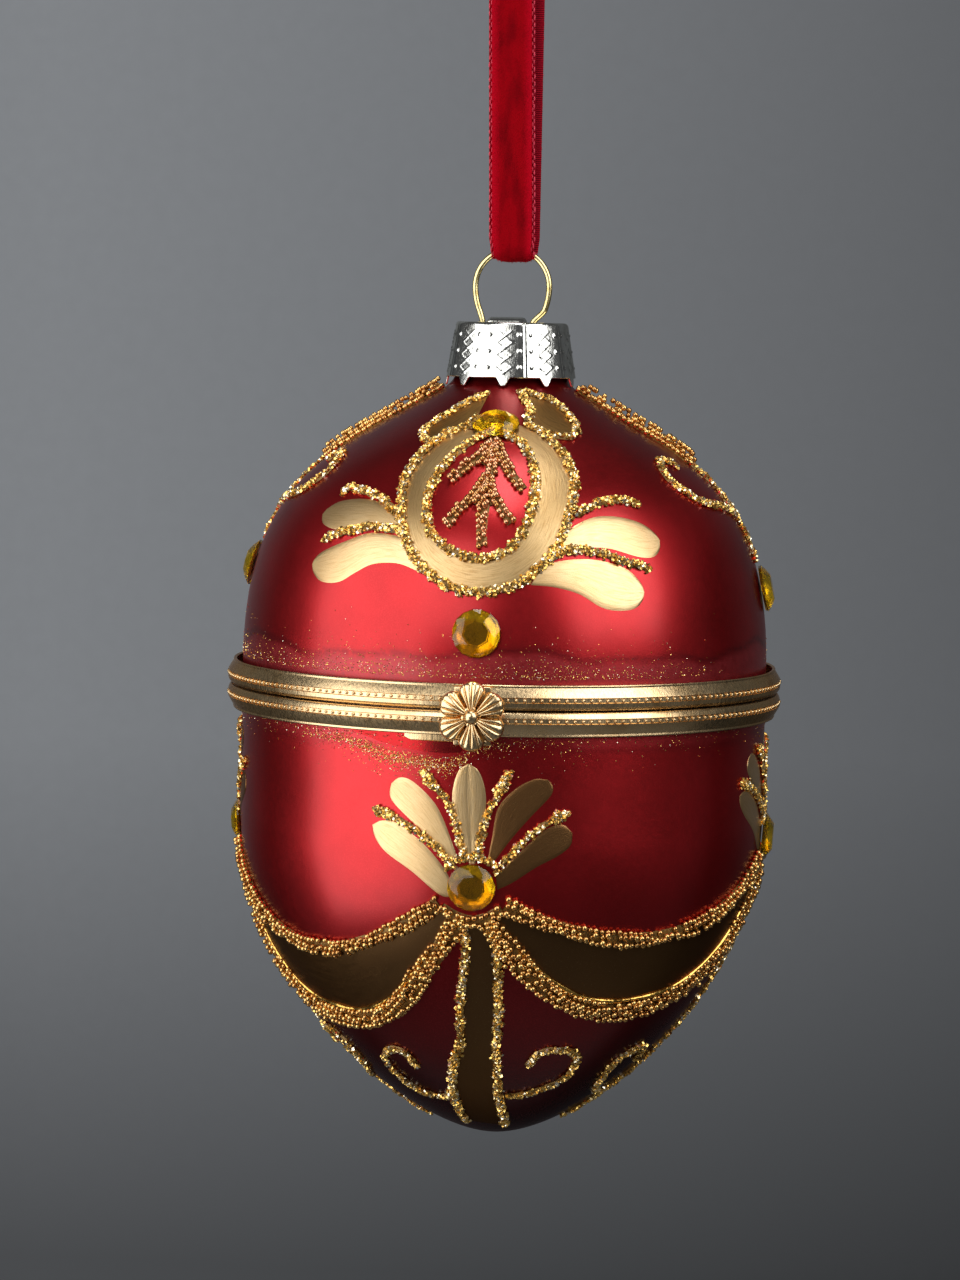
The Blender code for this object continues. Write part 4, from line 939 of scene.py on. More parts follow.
def makeWire():
    w = wire
    legs = []
    drops, spreads = np.array(w["legDrops"]), np.array(w["legSpreads"])
    for side in (-1, 1):
        x = abs(w["shift"] * side + w["spread"])
        x = side * (x + (w["bore"] - x) * spreads)
        legs.append(np.column_stack((x, cap["top"] - w["depth"] * drops)))
    opening = math.radians(w["opening"])
    arc = np.linspace(math.pi + opening, -opening, 61)
    reach = w["ring"] * np.where(np.sin(arc) < 0, w["stretch"], 1)
    ring = np.column_stack((w["ring"] * np.cos(arc), w["centre"] + reach * np.sin(arc)))
    path = np.vstack((legs[0], ring, legs[1][::-1]))
    for _ in range(2):  # rounds the corners
        near, far = path[:-1] * 0.75 + path[1:] * 0.25, path[:-1] * 0.25 + path[1:] * 0.75
        corners = np.vstack((path[:1], near, far, path[-1:]))
        steps = np.arange(len(near)) + 1
        order = np.concatenate(([0], steps, steps + 0.5, [len(path) + 1]))
        path = corners[np.argsort(order, kind="stable")]
    points = np.column_stack((path[:, 0], 0 * path[:, 0], path[:, 1]))
    return tube("wireHanger", points, w["radius"], wireMaterial(), 20)


settle(makeWire(), "hanger", "wire", "hanger_wire")
print("wire made")


# Rear hinge

hinge = {
    "width": 14.0, "knuckle": 1.3, "outer": 4.4, "gap": 0.25, "leaf": 0.6, "pin": 0.5, "y": 39.85,
    "leafY": 38.55, "foot": 0.75, "plateFoot": 1.75, "top": 3.35, "play": 0.12, "bevel": 0.12,
}


def knuckleMesh(name, start, end, level):
    # A rolled knuckle: a thick sleeve with a fine seam where the sheet closes on itself.
    h = hinge
    turns = np.linspace(0, math.tau, 40, endpoint=False)
    outer = h["knuckle"] - 0.1 * np.exp(-(((turns - 4.0) / 0.12) ** 2))
    bore, bevel = h["pin"] + h["play"], h["bevel"]
    ring = np.column_stack((np.cos(turns), level * np.sin(turns)))
    near = [(start, bore), (start, outer - bevel), (start + bevel, outer)]
    far = [(end - bevel, outer), (end, outer - bevel), (end, bore)]
    rows = []
    for x, radius in near + far:
        radius = np.broadcast_to(radius, len(turns))[:, None]
        rows.append(np.column_stack((np.full(len(turns), x), ring * radius + (h["y"], 0))))
    return sharpen(outward(makeMesh(name, rows, gridFaces(6, 40, True, True), brassPlain)), 35)


def makeHinge():
    h = hinge
    half = h["width"] / 2
    parting = half - h["outer"]
    pieces = {"upper": [], "lower": []}
    inner = parting - h["gap"]
    spans = {"upper": ((-half, -parting), (parting, half)), "lower": ((-inner, inner),)}

    def leaf(name, start, end, foot, sign, rounding):
        low, high = sorted((sign * foot, sign * h["top"]))
        front, back = h["leafY"], h["leafY"] + h["leaf"]
        return block(name, (start, front, low), (end, back, high), brassPlain, rounding)

    for level, sign in (("upper", 1), ("lower", -1)):
        for k, (start, end) in enumerate(spans[level]):
            pieces[level].append(knuckleMesh(f"{level}Knuckle{k + 1}", start, end, sign))
            pieces[level].append(leaf(f"{level}Leaf{k + 1}", start, end, h["foot"], sign, 0.12))
        pieces[level].append(leaf(f"{level}Plate", -half, half, h["plateFoot"], sign, 0.14))
    pinLine = [(x, h["y"], 0) for x in np.linspace(-half - 0.3, half + 0.3, 9)]
    return pieces, tube("hingePin", pinLine, h["pin"], brassPlain, 20)


hingePieces, hingePin = makeHinge()
for level in ("upper", "lower"):
    for piece in hingePieces[level]:
        settle(piece, f"{level}_half", "brass", f"hinge_leaf_{level}")
settle(hingePin, "upper_half", "brass", "hinge_pin")
print("hinge made")


# Clasp with its flower

clasp = {
    "back": -38.55, "tongue": 0.55, "width": 4.8, "foot": -4.4, "parting": 1.65, "top": 3.2, "radius": 4.55,
    "height": -0.6, "thickness": 1.15, "petals": 6, "notch": 0.3, "ribs": 4, "ribDepth": 0.36, "boss": 1.0,
    "grain": 0.4, "grainReach": 1.05, "grainTurns": (10, 72, 135, 200, 262, 325), "bead": 0.45,
    "beadHalf": 1.9,
}
catchPlate = {
    "from": -14.5, "to": 2.0, "inner": 36.42, "outer": 36.7, "top": -0.95, "foot": -4.25, "corner": 0.35,
    "cornerWidth": 1.2,
}


def makeFlower():
    c = clasp
    base = c["back"] - c["tongue"] - seamGap
    count = c["petals"] * 60
    angles = np.arange(count) / count * math.tau
    phase = (angles * c["petals"] / math.tau + 0.5) % 1 - 0.5
    lobe = np.cos(math.pi * phase)
    grooves = abs(np.sin(math.pi * c["ribs"] * phase)) ** 0.5 - 0.6
    rows = []
    shares = np.concatenate((np.linspace(0.14, 0.88, 26), np.linspace(0.9, 1.0, 9)))
    for share in shares:
        tip = 1 - c["notch"] * (1 - np.sqrt(np.clip(lobe, 0, 1)))
        radius = c["radius"] * (share * (1 - share) + tip * share * share)
        swell = math.sin(math.pi * min(1, share * 0.8 + 0.1)) ** 0.8
        dish = c["thickness"] * (0.3 + 0.7 * swell * (0.25 + 0.75 * lobe**0.7))
        ribs = c["ribDepth"] * grooves * math.sin(math.pi * min(1, share * 0.95)) ** 0.6
        crease = np.exp(-(((0.5 - abs(phase)) / (0.035 + 0.02 / share)) ** 2)) * min(1, share * 2)
        edge = math.sqrt(max(0, 1 - max(0, (share - 0.9) / 0.1) ** 2))
        depth = np.maximum((dish + ribs) * (1 - 0.8 * crease) * (0.3 + 0.7 * edge), 0.12)
        x, z = radius * np.sin(angles), c["height"] + radius * np.cos(angles)
        rows.append(np.column_stack((x, base - depth, z)))
    back = rows[-1].copy()
    back[:, 1] = base
    rows.append(back)
    points = np.vstack(rows + [[(0, base - 0.5, c["height"])], [(0, base, c["height"])]])
    faces = gridFaces(len(rows), count, False, True).tolist()
    hub, rear = len(points) - 2, len(points) - 1
    last = (len(rows) - 1) * count
    faces += [(hub, (k + 1) % count, k) for k in range(count)]
    faces += [(rear, last + k, last + (k + 1) % count) for k in range(count)]
    flower = sharpen(outward(makeMesh("claspFlower", points, faces, brass)), 60)
    spots, sizes = [(0, base - 0.85, c["height"])], [c["boss"]]
    for turn in np.radians(c["grainTurns"]):
        x, z = c["grainReach"] * math.sin(turn), c["grainReach"] * math.cos(turn)
        spots.append((x, base - 0.62, c["height"] + z))
        sizes.append(c["grain"])
    boss = scatter("flowerBoss", ball, np.array(spots), np.repeat(np.array(sizes)[:, None], 3, axis=1), brass)
    return flower, boss


def makeClasp():
    c = clasp
    front, back, half = c["back"] - c["tongue"], c["back"], c["width"] / 2
    low, high = c["parting"] - 0.15, c["parting"] + 0.15
    mount = block("claspMount", (-half, front, high), (half, back, c["top"]), brassPlain, 0.14)
    tongue = block("claspTongue", (-half, front, c["foot"]), (half, back, low), brassPlain, 0.14)
    across = np.linspace(-c["beadHalf"], c["beadHalf"], 9)
    beadLine = [(x, back - 0.27, c["foot"] + 0.47) for x in across]
    return mount, tongue, tube("tongueBead", beadLine, c["bead"], brassPlain, 16)


def makeCatch():
    # A thin plate between the lower band and the glass, under the clasp, with its two corners cut.
    c = catchPlate
    inner, outer = c["inner"], c["outer"]
    rows = []
    for degrees in np.linspace(c["from"], c["to"], 34):
        away = min(degrees - c["from"], c["to"] - degrees)
        foot = c["foot"] + c["corner"] * max(0, 1 - away / c["cornerWidth"])
        ring = [(inner, c["top"]), (outer, c["top"]), (outer + 0.02, foot + 0.1), (outer - 0.08, foot)]
        ring += [(inner + 0.08, foot), (inner, foot + 0.1)]
        angle = math.radians(degrees)
        rows.append([(r * math.sin(angle), -r * math.cos(angle), z) for r, z in ring])
    return sharpen(outward(makeMesh("catchPlate", rows, prismFaces(34, 6), brassPlain)), 40)


claspFlower, flowerBoss = makeFlower()
claspMount, claspTongue, tongueBead = makeClasp()
settle(claspFlower, "clasp", "brass", "clasp_flower")
settle(flowerBoss, "clasp", "brass")
settle(claspMount, "upper_half", "brass", "clasp_mount")
settle(claspTongue, "clasp", "brass", "clasp_tongue")
settle(tongueBead, "clasp", "brass")
settle(makeCatch(), "lower_half", "brass", "catch_plate")
print("clasp made")


# Stones

stone = {
    "radius": 3.2, "table": 1.8, "middle": 2.55, "middleHeight": 0.99, "girdle": 0.45, "height": 1.5,
    "foot": 0.08, "cup": 1.6, "cupHeight": 0.14, "rimInset": 0.14, "seat": 0.15,
    "upper": {"front": 9.8, "right": 14.3, "back": 9.8, "left": 16.0},
    "lower": {"front": -23.2, "right": -19.7, "back": -23.2, "left": -19.8}, "medallion": 36.1,
    # glue is the colour of the painted dark reflection under each stone's middle
    "amber": (1.0, 0.7, 0.03), "foil": (1.0, 0.82, 0.2), "glue": (0.035, 0.024, 0.006),
}


def amberMaterial():
    material, tree, shader = newMaterial("amberStone")
    swirl = noise(tree, place(tree), 0.5, 2)
    deep = (stone["amber"][0] * 0.92, stone["amber"][1] * 0.8, stone["amber"][2] * 0.6)
    color = ramp(tree, swirl, ((0.35, deep), (0.65, stone["amber"])))
    plug(tree, shader, color=color, rough=span(tree, swirl, 0.3, 0.7, 0.01, 0.04))
    setFixed(shader, {"Transmission Weight": 0.97, "IOR": 1.45})
    return material


def paintedCentreMaterial():
    material, tree, shader = newMaterial("stoneGlue")
    lumps = noise(tree, place(tree), 2.5, 2)
    color = mixColor(tree, lumps, stone["glue"], scaled(stone["glue"], 3))
    plug(tree, shader, color=color, rough=span(tree, lumps, 0.3, 0.7, 0.2, 0.5))
    return material


# Clear amber and the foil under its sides. The dark patch under its flat middle is a painted dark reflection
# that shows through the table.
amber = amberMaterial()
foilStops = ((0.3, scaled(stone["foil"], 0.5)), (0.6, stone["foil"]))
foil = grainMaterial("stoneFoil", (1.2, 2), foilStops, (0.12, 0.3), 0.7)
stoneGlue = paintedCentreMaterial()


def makeStone(name, angle, height, body, node, turn):
    s = stone
    spot, normal = onGlass(math.radians(angle), runAt(height), s["seat"])
    rise = Quaternion(Vector(normal).to_track_quat("Z", "Y")) @ Quaternion((0, 0, 1), math.radians(turn))

    def ring(radius, height, count, shift):
        turns = (np.arange(count) + shift) / count * math.tau
        return np.column_stack((radius * np.cos(turns), radius * np.sin(turns), np.full(count, height)))

    table = ring(s["table"], s["height"], 8, 0)
    middle = ring(s["middle"], s["middleHeight"], 8, 0.5)
    girdle = ring(s["radius"], s["girdle"], 16, 0)
    foot = ring(s["radius"] - 0.05, s["foot"], 16, 0)
    points = np.vstack((table, middle, girdle, foot))
    faces = [list(range(8)), [39 - k for k in range(16)]]
    for k in range(8):
        n, p = (k + 1) % 8, (k - 1) % 8
        g = 16 + 2 * k
        faces += [(k, 8 + k, n), (k, 8 + p, g, 8 + k)]
        faces += [(8 + k, g, g + 1), (8 + k, g + 1, 16 + (2 * k + 2) % 16)]
    for k in range(16):
        n = (k + 1) % 16
        faces.append((16 + k, 32 + k, 32 + n, 16 + n))
    gem = outward(makeMesh(name, points, faces, amber, smooth=False))
    rim = ring(s["radius"] - s["rimInset"], s["girdle"] - 0.04, 16, 0)
    cup = ring(s["cup"], s["cupHeight"], 8, 0)
    backing = np.vstack((rim, cup, [(0, 0, s["cupHeight"])]))
    faces = [(24, 16 + k, 16 + (k + 1) % 8) for k in range(8)]
    for k in range(16):
        n = (k + 1) % 16
        faces.append((k, n, 16 + n // 2 % 8) if k % 2 == 0 else (k, n, 16 + (k + 1) // 2 % 8))
    faces += [(16 + k, (2 * k + 1) % 16, 16 + (k + 1) % 8) for k in range(8)]
    mirror = makeMesh(name + "Foil", backing, faces, foil, smooth=False)
    mirror.data.materials.append(stoneGlue)
    # The middle of the foil cup takes the painted dark reflection.
    for face in list(mirror.data.polygons)[:8]:
        face.material_index = 1
    for obj in (gem, mirror):
        obj.location = eggCentre + Vector(spot) * mm
        obj.rotation_mode = "QUATERNION"
        obj.rotation_quaternion = rise
    settle(gem, body, "stone", node)
    settle(mirror, body, "stone")


for side, angle in sides.items():
    for half, turn in (("upper", 11 + angle / 7), ("lower", 30 + angle / 9)):
        name = f"stone{half.title()}{side.title()}"
        makeStone(name, angle, stone[half][side], f"{half}_half", f"gem_{half}_{side}", turn)
for side in ("front", "back"):
    name = f"stoneMedallion{side.title()}"
    makeStone(name, sides[side], stone["medallion"], "upper_half", f"gem_medallion_{side}", 4)
print("stones made")


# Tracing lines and patches on the glass

def trace(points, step, closed=False):
    # A smooth line through (angle, height) points, as (angle, run) pairs at even steps.
    marks = np.array([(math.radians(a), float(runAt(z))) for a, z in points])
    if closed:
        ends = (marks[-1:], marks, marks[:2])
    else:
        ends = (2 * marks[:1] - marks[1:2], marks, 2 * marks[-1:] - marks[-2:-1])
    padded = np.vstack(ends)
    t = np.linspace(0, 1, 13)[:-1, None]
    rows = []
    for a, b, c, d in zip(padded, padded[1:], padded[2:], padded[3:]):
        bend, twist = 2 * a - 5 * b + 4 * c - d, 3 * b - a - 3 * c + d
        rows.append(0.5 * (2 * b + (c - a) * t + bend * t**2 + twist * t**3))
    fine = np.vstack(rows + [marks[:1] if closed else marks[-1:]])
    spots, _ = onGlass(fine[:, 0], fine[:, 1])
    run = runOf(spots)
    at = np.linspace(0, run[-1], max(3, round(run[-1] / step)) + 1)
    return sampled(fine, at[:-1] if closed else at, run)


def matched(line, count):
    # The same line with another number of points.
    return sampled(line, np.linspace(0, len(line) - 1, count), np.arange(len(line)))


def shifted(points, face, mirror=False):
    return [((-a if mirror else a) + face, z) for a, z in points]


# Gold paint

paint = {
    "lift": 0.03, "dome": 0.045, "cream": (0.86, 0.6, 0.29), "tan": (0.66, 0.38, 0.13),
    "leaf": (0.48, 0.27, 0.085), "shade": (0.3, 0.14, 0.045), "ring": (0.7, 0.47, 0.21),
    "olive": (0.2, 0.1, 0.033), "umber": (0.12, 0.06, 0.022), "edge": (0.22, 0.12, 0.04),
    "swagShadedGold": (0.16, 0.08, 0.028),
}


def paintMaterial(name, light, dark, streaks, coat):
    material, tree, shader = newMaterial(name)
    brush = noise(tree, placeAlong(tree, (2.5, 32, 1)), 8, 3, 0.6)
    speck = noise(tree, place(tree), 7, 3, 0.7)
    broad = noise(tree, place(tree), 0.12, 1)
    color = mixColor(tree, span(tree, broad, 0.4, 0.6, 0, 0.3), light, dark)
    color = mixColor(tree, span(tree, brush, 0.45, 0.68, 0, streaks), color, dark)
    color = mixColor(tree, span(tree, speck, 0.36, 0.2, 0, 0.6), color, paint["cream"])  # grains of gold
    color = mixColor(tree, span(tree, speck, 0.55, 0.8, 0, 0.5), color, scaled(dark, 0.5))
    plug(tree, shader, color=color, rough=span(tree, brush, 0.3, 0.7, 0.3, 0.4), metal=0.95)
    setFixed(shader, {"Specular Tint": (*paint["edge"], 1), "Coat Weight": coat, "Coat Roughness": 0.3})
    bump(tree, shader, calc(tree, "ADD", calc(tree, "MULTIPLY", brush, 2 * streaks), speck), 0.03, 0.6)
    return material


goldPaint = paintMaterial("goldPaint", paint["cream"], paint["tan"], 0.75, 1.0)
ringPaint = paintMaterial("goldRing", paint["ring"], paint["leaf"], 0.8, 0.6)
dimPaint = paintMaterial("goldWash", paint["leaf"], paint["olive"], 0.75, 0.2)
# Painted shade: a darker copy of the gold paint, for petals that lie in shade.
paintedShadeGold = paintMaterial("goldPaintedShade", paint["shade"], paint["olive"], 0.75, 0.3)
# Painted shade: a dark copy of the gold paint for the swags and stripes, standing in for the dark reflections
# on them.
shadedSwagPaint = paintMaterial("goldPaintInShade", paint["swagShadedGold"], paint["umber"], 0.15, 0.15)


def paintPatch(name, near, far, body, material, columns=12, crease=0.0, follow="gold_glitter"):
    # A thin domed coat of paint between two traced borders.
    count = max(len(near), len(far))
    near, far = matched(near, count), matched(far, count)
    v = np.linspace(0, 1, columns + 1)
    dome = paint["lift"] + paint["dome"] * (1 - abs(2 * v - 1) ** 5)
    dome[[0, -1]] = -0.04
    dome = dome - crease * np.exp(-(((v - 0.5) / 0.06) ** 2))
    angle = near[:, :1] * (1 - v) + far[:, :1] * v
    run = near[:, 1:] * (1 - v) + far[:, 1:] * v
    points, _ = onGlass(angle, run, np.broadcast_to(dome, angle.shape))
    length = np.arange(count)[:, None] * 0.01
    uv = np.stack(np.broadcast_arrays(length, v[None] * 0.1), axis=-1)
    faces = gridFaces(count, columns + 1)
    obj = makeMesh(name, points, faces, material, uv=uv)
    x, y, _ = points[count // 2, columns // 2]
    if obj.data.polygons[len(faces) // 2].normal.dot((x, y, 0)) < 0:
        obj.data.flip_normals()
    return settle(obj, body, follow)


# Glitter lines and bead ropes

glitter = {
    "size": (0.14, 0.22), "perMm": 15, "step": 0.3, "gold": (0.95, 0.63, 0.17), "bronze": (0.45, 0.24, 0.06),
    "white": (1.0, 0.93, 0.72), "glue": (0.34, 0.19, 0.05),
}
beads = {
    "size": (0.35, 0.42), "pitch": 0.86, "gold": (0.88, 0.55, 0.19), "copper": (0.52, 0.26, 0.08),
    "rose": (0.76, 0.4, 0.21),
}


glitterStops = (
    (0.0, glitter["bronze"]), (0.3, glitter["gold"]), (0.7, glitter["gold"]), (0.92, glitter["white"]),
)
goldGlitter = grainMaterial("goldGlitter", (8, 2), glitterStops, (0.12, 0.3), 0.9, 0.02, 0.4, "shade")
glueStops = ((0.3, scaled(glitter["glue"], 0.4)), (0.7, glitter["glue"]))
glue = grainMaterial("glueUnderGlitter", (4, 3), glueStops, (0.25, 0.5), 0.5, 0.1)


def beadMaterial(name, color):
    stops = ((0.1, beads["copper"]), (0.7, color))
    return grainMaterial(name, (5, 2), stops, (0.1, 0.22), 0.95, 0.02, 0.3, "shade")


goldBeads = beadMaterial("goldBeads", beads["gold"])
roseBeads = beadMaterial("roseBeads", beads["rose"])


def acrossLine(line, closed=False):
    # Points on the glass along a line, with the outward and sideways directions there.
    spots, normal = onGlass(line[:, 0], line[:, 1])
    if closed:
        along = np.roll(spots, -1, axis=0) - np.roll(spots, 1, axis=0)
    else:
        along = np.gradient(spots, axis=0)
    return spots, normal, unit(np.cross(normal, along))


def glitterLines(name, routes, body, nodes, closed=False):
    # Ridges of glue full of glitter. Each route is (points, width, height).
    centres, sizes, gluePoints, glueFaces = [], [], [], []
    us = np.linspace(-1, 1, 7)
    profile = np.sqrt(np.clip(1 - us**2, 0, 1))
    start = 0
    for points, width, height in routes:
        line = trace(points, glitter["step"], closed)
        spots, normal, side = acrossLine(line, closed)
        count = len(spots)
        at = np.arange(count)
        wide = width / 2 * (1 + 0.16 * np.sin(at * 0.9 + rng.uniform(0, 6)) + rng.normal(0, 0.06, count))
        tall = height * (1 + 0.2 * np.sin(at * 0.6 + rng.uniform(0, 6)))
        if not closed:
            taper = np.clip(np.minimum(at, at[::-1]) * glitter["step"] / (width / 2) + 0.3, 0, 1)
            wide, tall = wide * taper, tall * taper
        ridge = spots[:, None] + side[:, None] * (wide[:, None] * us * 0.8)[..., None]
        ridge = ridge + normal[:, None] * (tall[:, None] * profile * 0.7 - 0.05)[..., None]
        gluePoints.append(ridge.reshape(-1, 3))
        glueFaces.append(gridFaces(count, 7, closed, start=start))
        start += count * 7
        amount = int(count * glitter["step"] * glitter["perMm"] * width / 1.3)
        pick = rng.random(amount) * (count - 1)
        low = pick.astype(int)
        share = (pick - low)[:, None]
        high = (low + 1) % count
        u = rng.uniform(-1, 1, amount)
        spot = spots[low] * (1 - share) + spots[high] * share
        lift = tall[low] * np.sqrt(np.clip(1 - u**2, 0, 1)) * 0.75 + rng.uniform(-0.02, 0.12, amount)
        spot = spot + side[low] * (u * wide[low])[:, None] + normal[low] * np.maximum(lift, 0.1)[:, None]
        centres.append(spot)
        size = rng.uniform(*glitter["size"], (amount, 1))
        sizes.append(size * rng.uniform((0.75, 0.6, 0.45), (1.15, 1.0, 0.9), (amount, 3)))
    under = makeMesh(name + "Glue", np.vstack(gluePoints), np.vstack(glueFaces), glue)
    grains = scatter(name, chip, np.vstack(centres), np.vstack(sizes), goldGlitter, smooth=False, rough=0.02)
    settle(under, body, "gold_glitter")
    settle(grains, body, "gold_glitter", *nodes)


def beadRopes(name, routes, body, material, nodes=()):
    # Ropes of tiny balls packed in a bed of glue. Each route is (points, width, layers).
    centres, bed, bedFaces = [], [], []
    us = np.linspace(-1, 1, 5)
    for points, width, layers in routes:
        spots, normal, side = acrossLine(trace(points, beads["pitch"] / 2))
        along = np.cross(side, normal)
        ridge = spots[:, None] + side[:, None] * (us * width * 0.42)[None, :, None]
        ridge = ridge + normal[:, None] * (0.22 * (1 - us**4) - 0.03)[None, :, None]
        bedFaces.append(gridFaces(len(spots), 5, start=sum(len(b) for b in bed)))
        bed.append(ridge.reshape(-1, 3))
        for layer in range(layers):
            rows = max(1, round(width / beads["pitch"]) - layer)
            for row in range(rows):
                reach = (row - (rows - 1) / 2) * beads["pitch"] * 0.96
                at = slice((row + layer) % 2, None, 2)
                count = len(spots[at])
                keep = rng.random(count) < (0.94 if layer == 0 else 0.6)
                sway = 0.2 * np.sin(np.arange(count) * 0.35 + rng.uniform(0, 6)) + rng.normal(0, 0.09, count)
                lift = beads["size"][0] + 0.54 * layer + rng.normal(0, 0.05, count)
                spot = spots[at] + side[at] * (reach + sway)[:, None] + normal[at] * lift[:, None]
                spot = spot + along[at] * rng.normal(0, 0.07, count)[:, None]
                centres.append(spot[keep])
    centres = np.vstack(centres)
    sizes = np.repeat(rng.uniform(*beads["size"], (len(centres), 1)), 3, axis=1)
    settle(makeMesh(name + "Glue", np.vstack(bed), np.vstack(bedFaces), glue), body, "beads")
    settle(scatter(name, ball, centres, sizes, material), body, "beads", *nodes)


# Gold dust left on the glass along the bands

dust = {
    "size": (0.03, 0.07), "upper": 2400, "lower": 1100, "heap": 2200, "reach": (1.32, 0.99), "edge": -3.6,
    "heapFrom": -42, "heapMost": -14, "heapTo": 10, "heapDepth": 1.5,
}


def makeDust():
    def flakes(name, angle, height, body):
        angle = np.radians(angle)
        spots, _ = onGlass(angle, runAt(height), rng.uniform(0.01, 0.05, len(angle)))
        size = rng.uniform(*dust["size"], (len(angle), 1))
        sizes = size * rng.uniform((0.7, 0.5, 0.3), (1.2, 1, 0.7), (len(angle), 3))
        settle(scatter(name, chip, spots, sizes, goldGlitter, smooth=False), body, "gold_glitter")

    def clumped(count):
        # Angles that gather in loose clouds, more of them at the front left.
        clouds = rng.choice(np.concatenate((rng.uniform(-180, 180, 26), rng.uniform(-55, 40, 16))), count)
        return clouds + rng.normal(0, 7, count)

    heap, edge = dust["heap"], dust["edge"]
    above = glass["belt"] + 0.6 + rng.exponential(dust["reach"][0], dust["upper"])
    flakes("dustAbove", clumped(dust["upper"]), np.minimum(above, 14), "upper_half")
    below = edge - rng.exponential(dust["reach"][1], dust["lower"])
    heapAngle = rng.triangular(dust["heapFrom"], dust["heapMost"], dust["heapTo"], heap)
    heapHeight = np.interp(heapAngle, bareEdge["angles"], bareEdge["lows"]) - 0.3
    heapHeight = heapHeight - dust["heapDepth"] * rng.random(heap) - rng.exponential(0.6, heap)
    heapHeight = np.minimum(heapHeight, edge - dust["heapDepth"] * rng.random(heap))
    angle = np.concatenate((clumped(dust["lower"]), heapAngle))
    flakes("dustBelow", angle, np.concatenate((below, heapHeight)), "lower_half")


makeDust()
print("dust made")


# Medallion with its wings and leaves, front and back

outerRing = [
    (-17.9, 35.8), (-23.2, 32.9), (-23.9, 29.4), (-21.4, 25.7), (-18.5, 22), (-13.8, 18.7), (-7.8, 16.1),
    (-0.8, 15.1), (6.4, 15.7), (11.6, 17.6), (17.3, 21), (21, 25), (24.5, 29.3), (24.1, 33), (19.6, 35.4),
]
innerRing = [
    (0, 35.2), (-7.1, 34.3), (-11.8, 32.4), (-14.5, 29.9), (-14.8, 26.8), (-13, 23.4), (-8.7, 21),
    (-2.9, 19.6), (2, 19.5), (6.8, 20.9), (9.6, 23.1), (12.1, 26.2), (13.4, 29.3), (12.8, 32.3),
    (9.3, 34.3),
]
sprig = [
    [(0.4, 34), (-3.6, 32.2), (-7.2, 30.7), (-10.3, 29.2)],
    [(0.4, 34), (4.3, 31.6), (7.3, 29.8), (9.9, 28.3)],
    [(-0.3, 29.7), (-3.4, 27.3), (-6.5, 25.4), (-8.5, 23.5)],
    [(-0.3, 29.7), (2.2, 27.6), (4.9, 25.5), (7, 24)],
    [(0.4, 34), (0.6, 30.4), (0.2, 26.7), (-0.1, 23.6), (0.2, 21)],
]
sprigFill = [
    [(0.4, 33.2), (-2.4, 31.3)],
    [(0.4, 33.2), (2.6, 31.2)],
    [(0.2, 28.4), (-2.4, 26.2)],
    [(0.2, 28.4), (2.2, 26.2)],
]
wings = {
    "UpperLeft": (
        [(-19, 23.4), (-23.7, 25), (-29.3, 26.3), (-35.2, 26.5), (-41.6, 26), (-45, 24.9), (-45.6, 24)],
        [(-19, 22.8), (-22, 22.8), (-27.9, 22.9), (-34.4, 22.1), (-40, 22.2), (-44.2, 22.9), (-45.6, 24)],
    ),
    "LowerLeft": (
        [
            (-16, 21.5), (-18.5, 21.9), (-27.1, 22.3), (-33.5, 21.2), (-40.1, 19.6), (-42.4, 18.4),
            (-42.6, 17.6),
        ],
        [
            (-9.4, 16.4), (-14.1, 17.5), (-18.9, 18.3), (-24.9, 18), (-29, 16.8), (-33.2, 15.4),
            (-38.3, 15.3), (-41.6, 16.4), (-42.6, 17.6),
        ],
    ),
    "UpperRight": (
        [(18, 22.2), (20.6, 23.4), (26.6, 24.9), (33.2, 25.1), (39.6, 24.3), (43, 22.9), (43.8, 21.8)],
        [
            (15.5, 20.1), (18.3, 20.7), (24.1, 20.9), (29.9, 20.7), (37, 19.6), (41, 19.6), (43.2, 20.6),
            (43.8, 21.8),
        ],
    ),
    "LowerRight": (
        [(14, 18.8), (17.1, 19.3), (22.1, 19.7), (27.8, 19.5), (33.5, 18.4), (36.6, 16.4), (37, 15.2)],
        [
            (11.1, 16.1), (16.3, 15.8), (21.6, 14.9), (26.3, 13.2), (30.2, 12.7), (34.3, 13), (36.4, 14.1),
            (37, 15.2),
        ],
    ),
}
wingLines = [
    [(-42.2, 26.6), (-41.2, 27.7), (-38, 27.5), (-34.7, 27.3), (-28, 26.5), (-22.1, 24.8)],
    [(-41.7, 20.5), (-38.4, 21.5), (-32.9, 22.3), (-26.9, 22.9), (-20.7, 22.6), (-18.4, 21.7)],
    [(22.9, 25), (27.3, 26.3), (33.2, 26.9), (37.5, 26.9), (41.4, 26.3)],
    [(14.9, 18.9), (17.7, 20.3), (22.3, 20.7), (27.4, 20.3), (32.5, 19.2), (36.7, 18.7), (39.4, 18.1)],
]
leaves = {
    "Left": (
        [(-10.5, 40.4), (-19, 39.6), (-26, 38.1), (-30.2, 36.4), (-31.2, 35.2)],
        [(-10.5, 37.4), (-13, 36.1), (-19.4, 34.6), (-24.9, 33.9), (-31.2, 35.2)],
    ),
    "Right": (
        [(14.2, 40.8), (24.8, 40.2), (35.4, 39.5), (38.5, 37.9), (36.3, 35.9)],
        [(14.2, 40.8), (17.4, 38.2), (14.3, 36.4), (27.9, 34.8), (36.3, 35.9)],
    ),
}


# Width and height of each glitter line, width and layers of each bead rope.
medallion = {
    "rim": (1.35, 0.6), "wingLine": (1.25, 0.5), "ring": (1.3, 0.6), "leaf": (1.15, 0.5),
    "sprig": (1.75, 2), "sprigFill": (1.3, 2), "topClosing": [(8, 36.6), (-8, 36.6)],
}


